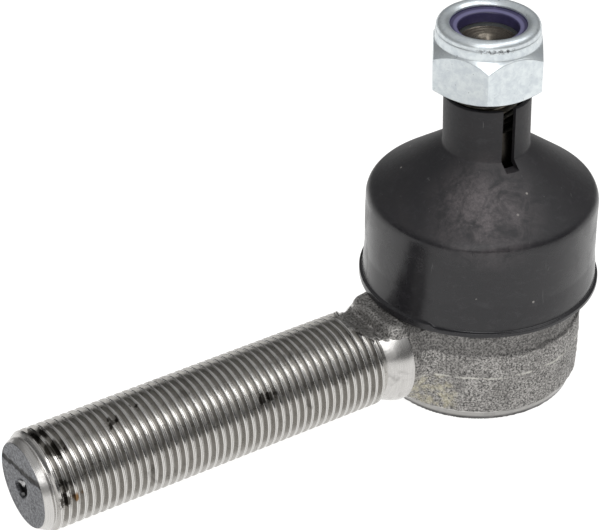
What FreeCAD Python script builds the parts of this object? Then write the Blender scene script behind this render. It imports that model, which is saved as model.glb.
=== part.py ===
import FreeCAD, Part
import Sketcher
import math
import os

# Tie rod end, millimetres.  The origin is the ball centre, where the stud axis crosses the shank axis.
# +Z runs up the stud, and the threaded shank runs along -X.

SIZES = {
    # shank and its thread
    "shank_radius": 9.0,
    "shank_length": 94.0,
    "shank_end_radius": 7.56,
    "shank_chamfer": 2.0,
    "thread_end_gap": 25.6,
    "relief_radius": 8.2,
    "relief_width": 0.9,
    "collar_radius": 9.85,
    "collar_end_gap": 20.6,
    "root_radius": 9.0,
    "root_gap": 15.5,
    # forged eye
    "eye_radius": 19.1,
    "eye_base_radius": 17.62,
    "eye_half_height": 11.6,
    "base_rim_radius": 18.3,
    "base_rim_height": 2.3,
    "parting_drop": 1.7,
    "band_height": 3.0,
    "band_radius": 18.5,
    "band_step": 0.5,
    "boot_groove_radius": 16.6,
    "boot_groove_low": 7.0,
    "boot_groove_high": 10.0,
    "boot_clear_radius": 19.4,
    "eye_lip_radius": 17.3,
    "bore_radius": 13.0,
    "bore_top": 4.6,
    "throat_radius": 10.6,
    "throat_low": 7.0,
    "throat_high": 7.8,
    "mouth_radius": 12.2,
    "plate_seat_radius": 14.8,
    "plate_seat_drop": 8.8,
    "rolled_lip_radius": 13.4,
    "rolled_lip_height": 0.75,
    # forged pad that joins the shank to the eye
    "pad_half_width": 7.0,
    "pad_top": 8.6,
    "pad_corner": 3.0,
    "pad_end": 24.4,
    "trim_flat_end": 28.6,
    "trim_flat_height": 7.7,
    "trim_flat_depth": 4.0,
    # ball stud
    "ball_radius": 10.0,
    "ball_flat_drop": 5.5,
    "neck_radius": 5.6,
    "neck_top": 13.0,
    "taper_big_radius": 7.3,
    "taper_land_low": 19.0,
    "taper_low": 22.0,
    "taper_high": 41.0,
    "taper_rate": 0.0625,
    "stud_relief_radius": 5.2,
    "stud_relief_width": 0.9,
    "stud_relief_slope": 0.4,
    "stud_thread_radius": 6.0,
    "stud_top": 56.6,
    "stud_chamfer": 0.9,
    "stud_centre_radius": 1.6,
    "stud_centre_depth": 1.4,
    # bearing seats, spring and closing plate
    "ball_gap": 0.04,
    "seat_gap": 0.05,
    "seat_split": 0.3,
    "upper_seat_mouth": 5.6,
    "upper_seat_lip_radius": 8.9,
    "upper_seat_top": 6.7,
    "upper_seat_shoulder_gap": 0.1,
    "upper_seat_throat_gap": 0.15,
    "lower_seat_mouth": 6.9,
    "lower_seat_base": 7.95,
    "spring_outer": 12.0,
    "spring_inner": 5.0,
    "spring_thickness": 0.45,
    "spring_rise": 0.3,
    "spring_base": 8.8,
    "plate_gap": 0.1,
    "plate_thickness": 1.9,
    "plate_dish_radius": 9.5,
    "plate_dish_depth": 0.5,
    # dust boot and its rings
    "boot_gap": 0.15,
    "boot_bead_radius": 18.1,
    "boot_ring_groove": 0.4,
    "boot_ring_low": 7.9,
    "boot_ring_high": 9.1,
    "boot_wall": 1.1,
    "boot_side_radius": 18.6,
    "boot_side_top": 12.5,
    "boot_bulge": 9.6,
    "boot_lip_radius": 9.6,
    "boot_lip_low": 20.2,
    "boot_lip_high": 23.4,
    "boot_lip_bore": 7.4,
    "ring_wire_radius": 0.45,
    # transit cap
    "cap_rim_radius": 21.73,
    "cap_rim_low": 8.96,
    "cap_rim_height": 0.9,
    "cap_rim_slope": 0.5,
    "cap_skirt_radius": 21.1,
    "cap_waist_radius": 20.75,
    "cap_waist_height": 15.0,
    "cap_shoulder_height": 25.5,
    "cap_shoulder_inset": 1.0,
    "cap_shoulder_round": 2.6,
    "cap_crown_height": 27.5,
    "cap_crown_slope": 0.74,
    "cap_crown_wall_drop": 1.43,
    "cap_wall": 1.15,
    "cap_neck_radius": 7.75,
    "cap_neck_bore": 6.6,
    "cap_neck_top": 46.4,
    "cap_slot_width": 2.5,
    "cap_slot_low": 35.0,
    "cap_slot_reach": 10.0,
    "cap_slot_turn": 5.0,
    # lock nut and its nylon ring
    "nut_across_flats": 18.8,
    "nut_bottom": 48.43,
    "nut_height": 12.0,
    "nut_base_radius": 9.3,
    "nut_chamfer_rise": 0.95,
    "nut_hex_straight": 6.9,
    "nut_hex_top": 8.6,
    "nut_collar_radius": 9.2,
    "nut_collar_height": 10.4,
    "nut_roll_round": 1.5,
    "nut_roll_crest": 7.9,
    "nut_roll_radius": 6.7,
    "nut_roll_drop": 0.6,
    "nut_bore_radius": 6.05,
    "nut_bore_mouth": 6.5,
    "ring_seat_radius": 7.8,
    "ring_seat_low": 8.6,
    "ring_seat_high": 11.0,
    "nut_turn": 54.4,
    "insert_bore": 5.35,
    "insert_gap": 0.05,
    "insert_round": 0.5,
}


class Dim:
    """A length kept both as a sheet expression and as its present value."""

    def __init__(self, expression, value):
        self.expression = expression
        self.value = value

    def __add__(self, other):
        other = as_dim(other)
        return Dim(f"({self.expression} + {other.expression})", self.value + other.value)

    def __sub__(self, other):
        other = as_dim(other)
        return Dim(f"({self.expression} - {other.expression})", self.value - other.value)

    def __mul__(self, other):
        other = as_dim(other)
        return Dim(f"({self.expression} * {other.expression})", self.value * other.value)

    def __neg__(self):
        return Dim(f"(0 - {self.expression})", -self.value)


def as_dim(number):
    """Give a plain number the same form as a sheet value."""
    return number if isinstance(number, Dim) else Dim(repr(number), number)


def size(name):
    """Look a driving dimension up by its alias."""
    return Dim(f"Sizes.{name}", SIZES[name])


ZERO = as_dim(0)


class Arc:
    """An arc that leaves a corner of an outline.

    It turns anticlockwise unless clockwise is set.  With a centre height it is centred on the upright
    axis; without one, its two corners and its radius place it, on the outside of its chord.
    """

    def __init__(self, radius, centre_height=None, clockwise=False):
        self.radius = radius
        self.centre_height = centre_height
        self.clockwise = clockwise

    def centre(self, start, stop):
        """Present place of the arc's centre."""
        if self.centre_height is not None:
            return FreeCAD.Vector(0, self.centre_height.value, 0)
        chord = stop - start
        rise = math.sqrt(self.radius.value ** 2 - chord.Length ** 2 / 4)
        side = FreeCAD.Vector(-chord.y, chord.x, 0).normalize()
        return (start + stop) * 0.5 + side * (-rise if self.clockwise else rise)


def arc_reach(radius, height, centre_height):
    """Distance from the axis of the point at a height on an axis-centred arc."""
    rise = height - centre_height
    reach = math.sqrt(radius.value ** 2 - rise.value ** 2)
    return Dim(f"sqrt({radius.expression}^2 - {rise.expression}^2)", reach)


def make_sheet(doc):
    """Write every driving dimension into the sheet, one aliased cell each."""
    sheet = doc.addObject("Spreadsheet::Sheet", "Sizes")
    for row, (name, value) in enumerate(SIZES.items(), start=1):
        sheet.set(f"A{row}", name)
        sheet.set(f"B{row}", str(value))
        sheet.setAlias(f"B{row}", name)
    doc.recompute()


def new_body(doc, name):
    """Add an empty body whose label is the node's name."""
    body = doc.addObject("PartDesign::Body", name)
    body.Label = name
    body.Placement = FreeCAD.Placement()
    return body


def plane_sketch(body, role, name):
    """Add a sketch on one of the body's own origin planes."""
    plane = next(item for item in body.Origin.OriginFeatures if item.Role == role)
    sketch = body.newObject("Sketcher::SketchObject", name)
    sketch.AttachmentSupport = [(plane, "")]
    sketch.MapMode = "FlatFace"
    return sketch


def pin_point(sketch, edge, end, across, up):
    """Tie one point of an edge to the sketch origin by two bound distances."""
    for kind, axis, length in (("DistanceX", -2, across), ("DistanceY", -1, up)):
        if length.value == 0:
            sketch.addConstraint(Sketcher.Constraint("PointOnObject", edge, end, axis))
        else:
            row = sketch.addConstraint(Sketcher.Constraint(kind, -1, 1, edge, end, length.value))
            sketch.setExpression(f"Constraints[{row}]", length.expression)


def add_edge(sketch, start, stop, arc):
    """Add the line or arc between two corners, with an arc's radius bound to the sheet."""
    if arc is None:
        return sketch.addGeometry(Part.LineSegment(start, stop))
    centre = arc.centre(start, stop)
    first, last = (stop, start) if arc.clockwise else (start, stop)
    begin = math.atan2(first.y - centre.y, first.x - centre.x)
    finish = math.atan2(last.y - centre.y, last.x - centre.x)
    circle = Part.Circle(centre, FreeCAD.Vector(0, 0, 1), arc.radius.value)
    edge = sketch.addGeometry(Part.ArcOfCircle(circle, begin, finish))
    if arc.centre_height is None:
        row = sketch.addConstraint(Sketcher.Constraint("Radius", edge, arc.radius.value))
        sketch.setExpression(f"Constraints[{row}]", arc.radius.expression)
    else:
        pin_point(sketch, edge, 3, ZERO, arc.centre_height)
    return edge


def draw_outline(sketch, outline):
    """Draw a closed outline of (across, up) or (across, up, Arc) corners, each bound to the sheet."""
    corners = [(corner + (None,))[:3] for corner in outline]
    points = [FreeCAD.Vector(across.value, up.value, 0) for across, up, arc in corners]
    ends = []
    for index, (across, up, arc) in enumerate(corners):
        edge = add_edge(sketch, points[index], points[(index + 1) % len(points)], arc)
        leaves, arrives = (2, 1) if arc is not None and arc.clockwise else (1, 2)
        ends.append((edge, leaves, arrives))
    for index, (edge, leaves, arrives) in enumerate(ends):
        following, start, unused = ends[(index + 1) % len(ends)]
        sketch.addConstraint(Sketcher.Constraint("Coincident", edge, arrives, following, start))
    for index, (across, up, arc) in enumerate(corners):
        edge, leaves, arrives = ends[index]
        before = corners[index - 1][2]
        if before is not None and before.centre_height is not None:
            pin_height(sketch, edge, leaves, up)
        else:
            pin_point(sketch, edge, leaves, across, up)


def pin_height(sketch, edge, end, up):
    """Tie only the height of a corner whose distance from the axis follows from its arc."""
    row = sketch.addConstraint(Sketcher.Constraint("DistanceY", -1, 1, edge, end, up.value))
    sketch.setExpression(f"Constraints[{row}]", up.expression)


def revolve(body, outline, name, axis="V_Axis"):
    """Turn a closed outline in the body's XZ plane about an axis of its sketch."""
    sketch = plane_sketch(body, "XZ_Plane", name + "_outline")
    draw_outline(sketch, outline)
    feature = body.newObject("PartDesign::Revolution", name)
    feature.Profile = sketch
    feature.ReferenceAxis = (sketch, [axis])
    feature.Angle = 360
    body.Document.recompute()
    return feature


def pocket(body, sketch, name, length, both_ways):
    """Cut a pocket of a bound length, and make sure that it cut something."""
    before = body.Shape.Volume
    feature = body.newObject("PartDesign::Pocket", name)
    feature.Profile = sketch
    feature.Length = length.value
    feature.setExpression("Length", length.expression)
    feature.Midplane = both_ways
    feature.Reversed = not both_ways
    body.Document.recompute()
    if body.Shape.Volume > before - 1e-3:
        raise ValueError(f"{name} cuts nothing")


def rectangle(left, right, low, high):
    """Corners of an upright rectangle, anticlockwise."""
    return [(left, low), (right, low), (right, high), (left, high)]


def make_housing(doc):
    """Eye and threaded shank: one forging, bored for the seats and turned along the shank."""
    body = new_body(doc, "forged_housing")
    base = -size("eye_half_height")
    lip_top = base + size("rolled_lip_height")
    band = size("band_height")
    outline = [
        (size("rolled_lip_radius"), base),
        (size("eye_base_radius"), base),
        (size("base_rim_radius"), base + size("base_rim_height")),
        (size("eye_radius"), -size("parting_drop")),
        (size("eye_radius"), band),
        (size("band_radius"), band + size("band_step")),
        (size("band_radius"), size("boot_groove_low")),
        (size("boot_groove_radius"), size("boot_groove_low")),
        (size("boot_groove_radius"), size("boot_groove_high")),
        (size("eye_lip_radius"), size("boot_groove_high")),
        (size("eye_lip_radius"), size("eye_half_height")),
        (size("mouth_radius"), size("eye_half_height")),
        (size("throat_radius"), size("throat_high")),
        (size("throat_radius"), size("throat_low")),
        (size("bore_radius"), size("bore_top")),
        (size("bore_radius"), -size("plate_seat_drop")),
        (size("plate_seat_radius"), -size("plate_seat_drop")),
        (size("plate_seat_radius"), lip_top),
        (size("rolled_lip_radius"), lip_top),
    ]
    revolve(body, outline, "eye")
    add_shank(body)
    add_pad(body)
    turn_boot_seat(body)
    trim_shank_top(body)
    return body


def add_shank(body):
    """Shank: chamfered end, thread length at its major diameter, relief and flared collar."""
    end = -size("shank_length")
    thread_end = -size("thread_end_gap")
    root = -size("root_gap")
    outline = [
        (end, ZERO),
        (root, ZERO),
        (root, size("root_radius")),
        (-size("collar_end_gap"), size("root_radius")),
        (-size("collar_end_gap"), size("collar_radius")),
        (thread_end + size("relief_width"), size("relief_radius")),
        (thread_end, size("relief_radius")),
        (thread_end, size("shank_radius")),
        (end + size("shank_chamfer"), size("shank_radius")),
        (end, size("shank_end_radius")),
    ]
    revolve(body, outline, "shank", axis="H_Axis")


def add_pad(body):
    """Forged pad with rounded edges that rises from the shank to the top of the eye."""
    half = size("pad_half_width")
    top = size("pad_top")
    corner = size("pad_corner")
    sketch = plane_sketch(body, "YZ_Plane", "pad_outline")
    outline = [
        (-half, ZERO),
        (half, ZERO),
        (half, top - corner, Arc(corner)),
        (half - corner, top),
        (corner - half, top, Arc(corner)),
        (-half, top - corner),
    ]
    draw_outline(sketch, outline)
    start = -size("pad_end")
    length = size("pad_end") - size("root_gap")
    sketch.AttachmentOffset = FreeCAD.Placement(FreeCAD.Vector(0, 0, start.value), FreeCAD.Rotation())
    sketch.setExpression("AttachmentOffset.Base.z", start.expression)
    pad = body.newObject("PartDesign::Pad", "pad")
    pad.Profile = sketch
    pad.Length = length.value
    pad.setExpression("Length", length.expression)
    body.Document.recompute()


def turn_boot_seat(body):
    """Turn the boot's groove clear where the pad crosses it."""
    before = body.Shape.Volume
    sketch = plane_sketch(body, "XZ_Plane", "boot_seat_outline")
    sides = (size("boot_groove_radius"), size("boot_clear_radius"))
    draw_outline(sketch, rectangle(*sides, size("boot_groove_low"), size("boot_groove_high")))
    feature = body.newObject("PartDesign::Groove", "boot_seat")
    feature.Profile = sketch
    feature.ReferenceAxis = (sketch, ["V_Axis"])
    feature.Angle = 360
    body.Document.recompute()
    if body.Shape.Volume > before - 1e-3:
        raise ValueError("boot_seat cuts nothing")


def trim_shank_top(body):
    """Flat that trimming leaves on the last threads, stepping up to the pad's top over the collar."""
    sketch = plane_sketch(body, "XZ_Plane", "trim_outline")
    low = size("trim_flat_height")
    high = low + size("trim_flat_depth")
    outline = [
        (-size("trim_flat_end"), low),
        (-size("pad_end"), low),
        (-size("pad_end"), size("pad_top")),
        (-size("boot_clear_radius"), size("pad_top")),
        (-size("boot_clear_radius"), high),
        (-size("trim_flat_end"), high),
    ]
    draw_outline(sketch, outline)
    pocket(body, sketch, "trim_flat", size("shank_radius") * 2, both_ways=True)


def make_stud(doc):
    """Ball stud: flat-bottomed ball, waisted neck, taper and threaded end with a centre hole."""
    body = new_body(doc, "ball_stud")
    flat = -size("ball_flat_drop")
    ball = size("ball_radius")
    neck = size("neck_radius")
    taper_loss = (size("taper_high") - size("taper_low")) * size("taper_rate")
    relief_low = size("taper_high") + size("stud_relief_slope")
    relief_high = relief_low + size("stud_relief_width")
    thread = size("stud_thread_radius")
    top = size("stud_top")
    outline = [
        (ZERO, flat),
        (arc_reach(ball, flat, ZERO), flat, Arc(ball, centre_height=ZERO)),
        (neck, arc_reach(ball, neck, ZERO)),
        (neck, size("neck_top")),
        (size("taper_big_radius"), size("taper_land_low")),
        (size("taper_big_radius"), size("taper_low")),
        (size("taper_big_radius") - taper_loss, size("taper_high")),
        (size("stud_relief_radius"), relief_low),
        (size("stud_relief_radius"), relief_high),
        (thread, relief_high + size("stud_relief_slope")),
        (thread, top - size("stud_chamfer")),
        (thread - size("stud_chamfer"), top),
        (size("stud_centre_radius"), top),
        (ZERO, top - size("stud_centre_depth")),
    ]
    revolve(body, outline, "stud")
    return body


def make_upper_seat(doc):
    """Upper bearing seat: the half shell that the neck of the ball passes through."""
    body = new_body(doc, "upper_bearing_seat")
    ball = size("ball_radius") + size("ball_gap")
    outer = size("bore_radius") - size("seat_gap")
    split = size("seat_split")
    mouth = size("upper_seat_mouth")
    outline = [
        (arc_reach(ball, mouth, ZERO), mouth, Arc(ball, centre_height=ZERO, clockwise=True)),
        (arc_reach(ball, split, ZERO), split),
        (outer, split),
        (outer, size("bore_top") - size("upper_seat_shoulder_gap")),
        (size("throat_radius") + size("upper_seat_throat_gap"), size("upper_seat_top")),
        (size("upper_seat_lip_radius"), size("upper_seat_top")),
    ]
    revolve(body, outline, "upper_seat")
    return body


def make_lower_seat(doc):
    """Lower bearing seat: an open-bottomed half shell that the spring pushes up."""
    body = new_body(doc, "lower_bearing_seat")
    ball = size("ball_radius") + size("ball_gap")
    outer = size("bore_radius") - size("seat_gap")
    split = -size("seat_split")
    mouth = -size("lower_seat_mouth")
    base = -size("lower_seat_base")
    outline = [
        (arc_reach(ball, split, ZERO), split, Arc(ball, centre_height=ZERO, clockwise=True)),
        (arc_reach(ball, mouth, ZERO), mouth),
        (arc_reach(ball, mouth, ZERO), base),
        (outer, base),
        (outer, split),
    ]
    revolve(body, outline, "lower_seat")
    return body


def make_spring(doc):
    """Preload spring: a coned disc between the lower seat and the closing plate."""
    body = new_body(doc, "preload_disc_spring")
    low = -size("spring_base")
    lift = low + size("spring_rise")
    thick = size("spring_thickness")
    outline = [
        (size("spring_inner"), lift),
        (size("spring_outer"), low),
        (size("spring_outer"), low + thick),
        (size("spring_inner"), lift + thick),
    ]
    revolve(body, outline, "disc")
    return body


def make_plate(doc):
    """Closing plate: a dished steel disc held by the rolled lip of the eye."""
    body = new_body(doc, "closing_plate")
    edge = size("plate_seat_radius") - size("seat_gap")
    top = -size("plate_seat_drop") - size("plate_gap")
    low = top - size("plate_thickness")
    dish = low + size("plate_dish_depth")
    outline = [
        (ZERO, dish),
        (size("plate_dish_radius"), dish),
        (size("plate_dish_radius") + size("plate_dish_depth"), low),
        (edge, low),
        (edge, top),
        (ZERO, top),
    ]
    revolve(body, outline, "plate")
    return body


def make_boot(doc):
    """Dust boot: a bead in the eye's groove, a bulged wall and a lip round the stud."""
    body = new_body(doc, "dust_boot")
    gap = size("boot_gap")
    wall = size("boot_wall")
    bead = size("boot_bead_radius")
    bead_bore = size("boot_groove_radius") + gap
    ring_floor = bead - size("boot_ring_groove")
    side = size("boot_side_radius")
    side_top = size("boot_side_top")
    lip = size("boot_lip_radius")
    lip_low = size("boot_lip_low")
    inner_top = size("boot_groove_high") - gap
    outline = [
        (bead_bore, size("boot_groove_low") + gap),
        (bead, size("boot_groove_low") + gap),
        (bead, size("boot_ring_low")),
        (ring_floor, size("boot_ring_low")),
        (ring_floor, size("boot_ring_high")),
        (bead, size("boot_ring_high")),
        (side, size("boot_groove_high")),
        (side, side_top, Arc(size("boot_bulge"))),
        (lip, lip_low),
        (lip, size("boot_lip_high")),
        (size("boot_lip_bore"), size("boot_lip_high")),
        (size("boot_lip_bore"), lip_low),
        (lip - wall, lip_low - wall, Arc(size("boot_bulge") - wall, clockwise=True)),
        (side - wall, side_top),
        (side - wall, inner_top),
        (bead_bore, inner_top),
    ]
    revolve(body, outline, "boot")
    return body


def make_wire_ring(doc, name, radius, height):
    """Round wire ring that clamps one end of the boot."""
    ring = doc.addObject("Part::Torus", name)
    ring.Label = name
    ring.setExpression("Radius1", radius.expression)
    ring.setExpression("Radius2", size("ring_wire_radius").expression)
    ring.Placement = FreeCAD.Placement(FreeCAD.Vector(0, 0, height.value), FreeCAD.Rotation())
    ring.setExpression("Placement.Base.z", height.expression)
    return ring


def make_lower_ring(doc):
    """Wire ring in the groove of the boot's bead."""
    wire = size("ring_wire_radius")
    floor = size("boot_bead_radius") - size("boot_ring_groove")
    height = (size("boot_ring_low") + size("boot_ring_high")) * 0.5
    return make_wire_ring(doc, "boot_lower_ring", floor + wire, height)


def make_upper_ring(doc):
    """Wire ring round the boot's lip on the stud."""
    height = (size("boot_lip_low") + size("boot_lip_high")) * 0.5
    return make_wire_ring(doc, "boot_upper_ring", size("boot_lip_radius") + size("ring_wire_radius"), height)


def crown_height(across):
    """Height of the cap's conical crown at a distance from the axis."""
    crown = size("cap_waist_radius") - size("cap_shoulder_inset")
    return size("cap_crown_height") + (crown - across) * size("cap_crown_slope")


def make_cap(doc):
    """Transit cap: rim, skirt, rounded shoulder, conical crown and a split neck round the stud."""
    body = new_body(doc, "transit_cap")
    wall = size("cap_wall")
    rim_low = size("cap_rim_low")
    rim_top = rim_low + size("cap_rim_height")
    waist = size("cap_waist_radius")
    shoulder = size("cap_shoulder_height")
    drop = size("cap_crown_wall_drop")
    crown = waist - size("cap_shoulder_inset")
    inner_crown = crown - wall * 0.9
    neck = size("cap_neck_radius")
    bore = size("cap_neck_bore")
    outline = [
        (size("cap_skirt_radius") - wall, rim_low),
        (size("cap_rim_radius"), rim_low),
        (size("cap_rim_radius"), rim_top),
        (size("cap_skirt_radius"), rim_top + size("cap_rim_slope")),
        (waist, size("cap_waist_height")),
        (waist, shoulder, Arc(size("cap_shoulder_round"))),
        (crown, crown_height(crown)),
        (neck, crown_height(neck)),
        (neck, size("cap_neck_top")),
        (bore, size("cap_neck_top")),
        (bore, crown_height(bore) - drop),
        (inner_crown, crown_height(inner_crown) - drop),
        (waist - wall, shoulder),
        (waist - wall, size("cap_waist_height")),
    ]
    revolve(body, outline, "cap")
    cut_neck_slot(body)
    return body


def cut_neck_slot(body):
    """Slot that splits the neck on one side, from its top down into the crown."""
    sketch = plane_sketch(body, "XZ_Plane", "slot_outline")
    half = size("cap_slot_width") * 0.5
    draw_outline(sketch, rectangle(-half, half, size("cap_slot_low"), size("cap_neck_top") + 1))
    axis = FreeCAD.Vector(0, -1, 0)
    turn = FreeCAD.Rotation(axis, SIZES["cap_slot_turn"])
    sketch.AttachmentOffset = FreeCAD.Placement(FreeCAD.Vector(), turn)
    sketch.setExpression("AttachmentOffset.Rotation.Angle", size("cap_slot_turn").expression)
    pocket(body, sketch, "neck_slot", size("cap_slot_reach"), both_ways=False)


def make_nut(doc):
    """Lock nut: a hexagonal prism trimmed by its turned shape, with a rolled collar on top."""
    prism = doc.addObject("Part::Prism", "nut_hexagon")
    prism.Polygon = 6
    prism.setExpression("Circumradius", f"{size('nut_across_flats').expression} / sqrt(3)")
    prism.setExpression("Height", size("nut_height").expression)
    prism.Placement = FreeCAD.Placement(
        FreeCAD.Vector(0, 0, SIZES["nut_bottom"]),
        FreeCAD.Rotation(FreeCAD.Vector(0, 0, 1), SIZES["nut_turn"]),
    )
    prism.setExpression("Placement.Base.z", size("nut_bottom").expression)
    prism.setExpression("Placement.Rotation.Angle", size("nut_turn").expression)
    turned = new_body(doc, "nut_turned_shape")
    revolve(turned, nut_outline(), "nut_turning")
    nut = doc.addObject("Part::Common", "lock_nut")
    nut.Label = "lock_nut"
    nut.Base = prism
    nut.Tool = turned
    nut.Placement = FreeCAD.Placement()
    return nut


def nut_outline():
    """Turned outline of the nut: chamfers, collar, rolled lip, ring seat and bore."""
    low = size("nut_bottom")
    corner = size("nut_across_flats") * 0.6
    roll_low = low + size("ring_seat_high")
    return [
        (size("nut_bore_mouth"), low),
        (size("nut_base_radius"), low),
        (corner, low + size("nut_chamfer_rise")),
        (corner, low + size("nut_hex_straight")),
        (size("nut_collar_radius"), low + size("nut_hex_top")),
        (size("nut_collar_radius"), low + size("nut_collar_height"), Arc(size("nut_roll_round"))),
        (size("nut_roll_crest"), low + size("nut_height")),
        (size("nut_roll_radius"), low + size("nut_height") - size("nut_roll_drop")),
        (size("nut_roll_radius"), roll_low),
        (size("ring_seat_radius"), roll_low),
        (size("ring_seat_radius"), low + size("ring_seat_low")),
        (size("nut_bore_radius"), low + size("ring_seat_low")),
        (size("nut_bore_radius"), low + (size("nut_bore_mouth") - size("nut_bore_radius"))),
    ]


def make_insert(doc):
    """Nylon ring held in the nut's collar."""
    body = new_body(doc, "nylon_insert")
    gap = size("insert_gap")
    low = size("nut_bottom") + size("ring_seat_low") + gap
    high = size("nut_bottom") + size("ring_seat_high") - gap
    outer = size("ring_seat_radius") - gap
    bore = size("insert_bore")
    edge = size("insert_round")
    outline = [
        (bore, low),
        (outer, low),
        (outer, high),
        (bore + edge, high, Arc(edge)),
        (bore, high - edge),
    ]
    revolve(body, outline, "insert")
    return body


def check_document(doc, nodes):
    """Stop if an object failed or a node's shape is missing or not valid."""
    for item in doc.Objects:
        if "Invalid" in item.State or "Error" in item.State:
            raise ValueError(f"{item.Label} failed: {item.State}")
    for node in nodes:
        if node.Shape.isNull() or not node.Shape.isValid() or len(node.Shape.Solids) != 1:
            raise ValueError(f"{node.Label} is not one valid solid")


def main():
    """Build every sub-part and write one file for each."""
    doc = FreeCAD.newDocument("tie_rod_end")
    make_sheet(doc)
    makers = (
        make_housing, make_stud, make_upper_seat, make_lower_seat, make_spring, make_plate,
        make_boot, make_lower_ring, make_upper_ring, make_cap, make_nut, make_insert,
    )
    nodes = [maker(doc) for maker in makers]
    doc.recompute()
    check_document(doc, nodes)
    os.makedirs("parts", exist_ok=True)
    for node in nodes:
        node.Shape.exportStep(f"parts/{node.Label}.step")
        box = node.Shape.BoundBox
        print(f"{node.Label}: {node.Shape.Volume:.1f} mm3, z {box.ZMin:.2f} to {box.ZMax:.2f}")


main()
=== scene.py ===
import logging
import math
from dataclasses import dataclass
from enum import Enum
from typing import Callable, Optional, Sequence, Union

import bmesh
import bpy
import numpy as np
from mathutils import Matrix, Vector


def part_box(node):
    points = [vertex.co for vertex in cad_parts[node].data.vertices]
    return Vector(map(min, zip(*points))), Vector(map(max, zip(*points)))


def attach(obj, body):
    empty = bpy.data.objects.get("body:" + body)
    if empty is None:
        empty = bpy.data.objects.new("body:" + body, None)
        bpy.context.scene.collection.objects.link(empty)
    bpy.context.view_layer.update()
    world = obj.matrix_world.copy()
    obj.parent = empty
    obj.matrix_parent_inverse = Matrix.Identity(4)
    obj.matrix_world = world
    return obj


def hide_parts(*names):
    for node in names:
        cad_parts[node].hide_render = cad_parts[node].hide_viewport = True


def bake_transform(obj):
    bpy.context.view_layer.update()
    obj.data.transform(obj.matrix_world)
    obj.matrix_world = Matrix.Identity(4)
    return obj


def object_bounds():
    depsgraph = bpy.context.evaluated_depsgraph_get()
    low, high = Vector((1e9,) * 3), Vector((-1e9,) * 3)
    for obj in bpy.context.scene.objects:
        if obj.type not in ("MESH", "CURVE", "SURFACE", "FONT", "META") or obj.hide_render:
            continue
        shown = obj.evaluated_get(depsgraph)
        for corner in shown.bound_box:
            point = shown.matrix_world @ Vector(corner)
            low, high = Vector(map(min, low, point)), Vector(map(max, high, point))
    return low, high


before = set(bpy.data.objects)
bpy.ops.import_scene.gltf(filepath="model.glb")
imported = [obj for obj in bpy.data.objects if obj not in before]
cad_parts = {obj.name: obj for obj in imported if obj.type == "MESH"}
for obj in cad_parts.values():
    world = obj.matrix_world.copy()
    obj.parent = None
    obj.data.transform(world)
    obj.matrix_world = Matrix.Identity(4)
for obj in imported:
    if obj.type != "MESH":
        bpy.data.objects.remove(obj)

# Tie rod end: a forged eye with a threaded shank, and a ball stud under a boot, a cap and a lock nut.
# The builders work in millimetres in the part's own frame: the origin is the ball centre, +Z runs up
# the stud and the shank runs along -X.  Meshes are written in metres.

CAD_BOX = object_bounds()
MM = 0.001
WELD = 2e-7
TAU = 2.0 * math.pi
SHARP_TURN = 35.0
NUMBER_SOCKET = "NodeSocketFloat"
LOG = logging.getLogger("tie_rod_end")

Socket = bpy.types.NodeSocket
Value = Union[float, int, Sequence[float], Socket]
Inputs = dict[Union[str, int], Value]
Field = Callable[[np.ndarray], np.ndarray]
Reach = Union[float, np.ndarray]
Pair = tuple[float, float]
Colour = tuple[float, float, float, float]


class Body(Enum):
    """Bodies of the frame that pieces ride on."""

    HOUSING = "housing"
    LOWER_SEAT = "lower_seat"
    BOOT_AND_CAP = "boot_and_cap"
    STUD = "stud"
    NUT_RING = "nut_ring"
    NUT = "nut"


class Lie(Enum):
    """How a surface worked out about an upright axis is laid in the part."""

    UPRIGHT = "upright"
    ALONG_SHANK = "along_shank"


# ---------------------------------------------------------------- surfaces


@dataclass
class Surface:
    """Points in millimetres and the quads between them."""

    points: np.ndarray
    quads: np.ndarray

    def joined(self, other: "Surface") -> "Surface":
        """Put another surface's points and quads after this one's.

        Args:
            other: the surface to add.
        Returns:
            One surface that holds both.
        """
        quads = np.vstack([self.quads, other.quads + len(self.points)])
        return Surface(np.vstack([self.points, other.points]), quads)

    def laid(self, lie: Lie) -> "Surface":
        """Turn an upright surface into its place.

        Args:
            lie: upright, or along the shank, where the upright axis becomes +X and the first axis -Z.
        Returns:
            The turned surface.
        """
        if lie is Lie.UPRIGHT:
            return self
        turned = np.stack([self.points[:, 2], self.points[:, 1], -self.points[:, 0]], axis=1)
        return Surface(turned, self.quads)


def grid_quads(rows: int, columns: int, close_rows: bool, close_columns: bool) -> np.ndarray:
    """Quads of a grid of points numbered row by row.

    Args:
        rows: number of rows.
        columns: number of columns.
        close_rows: whether the last row joins the first.
        close_columns: whether the last column joins the first.
    Returns:
        An array of four point numbers for each quad.
    """
    row = np.arange(rows if close_rows else rows - 1)[:, None]
    column = np.arange(columns if close_columns else columns - 1)[None, :]
    next_row = (row + 1) % rows
    next_column = (column + 1) % columns
    corners = [row * columns + column, row * columns + next_column]
    corners += [next_row * columns + next_column, next_row * columns + column]
    return np.stack([np.broadcast_to(c, (row.size, column.size)).ravel() for c in corners], axis=1)


def round_axis(radius: np.ndarray, angle: np.ndarray, height: np.ndarray) -> np.ndarray:
    """Places about the upright axis: (radius cos angle, radius sin angle, height).

    Args:
        radius: distances from the axis, in a grid or a column.
        angle: angles in radians, in a grid or a row.
        height: heights, in a grid.
    Returns:
        (n, 3) places, row by row.
    """
    return np.stack([radius * np.cos(angle), radius * np.sin(angle), height], axis=-1).reshape(-1, 3)


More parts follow.
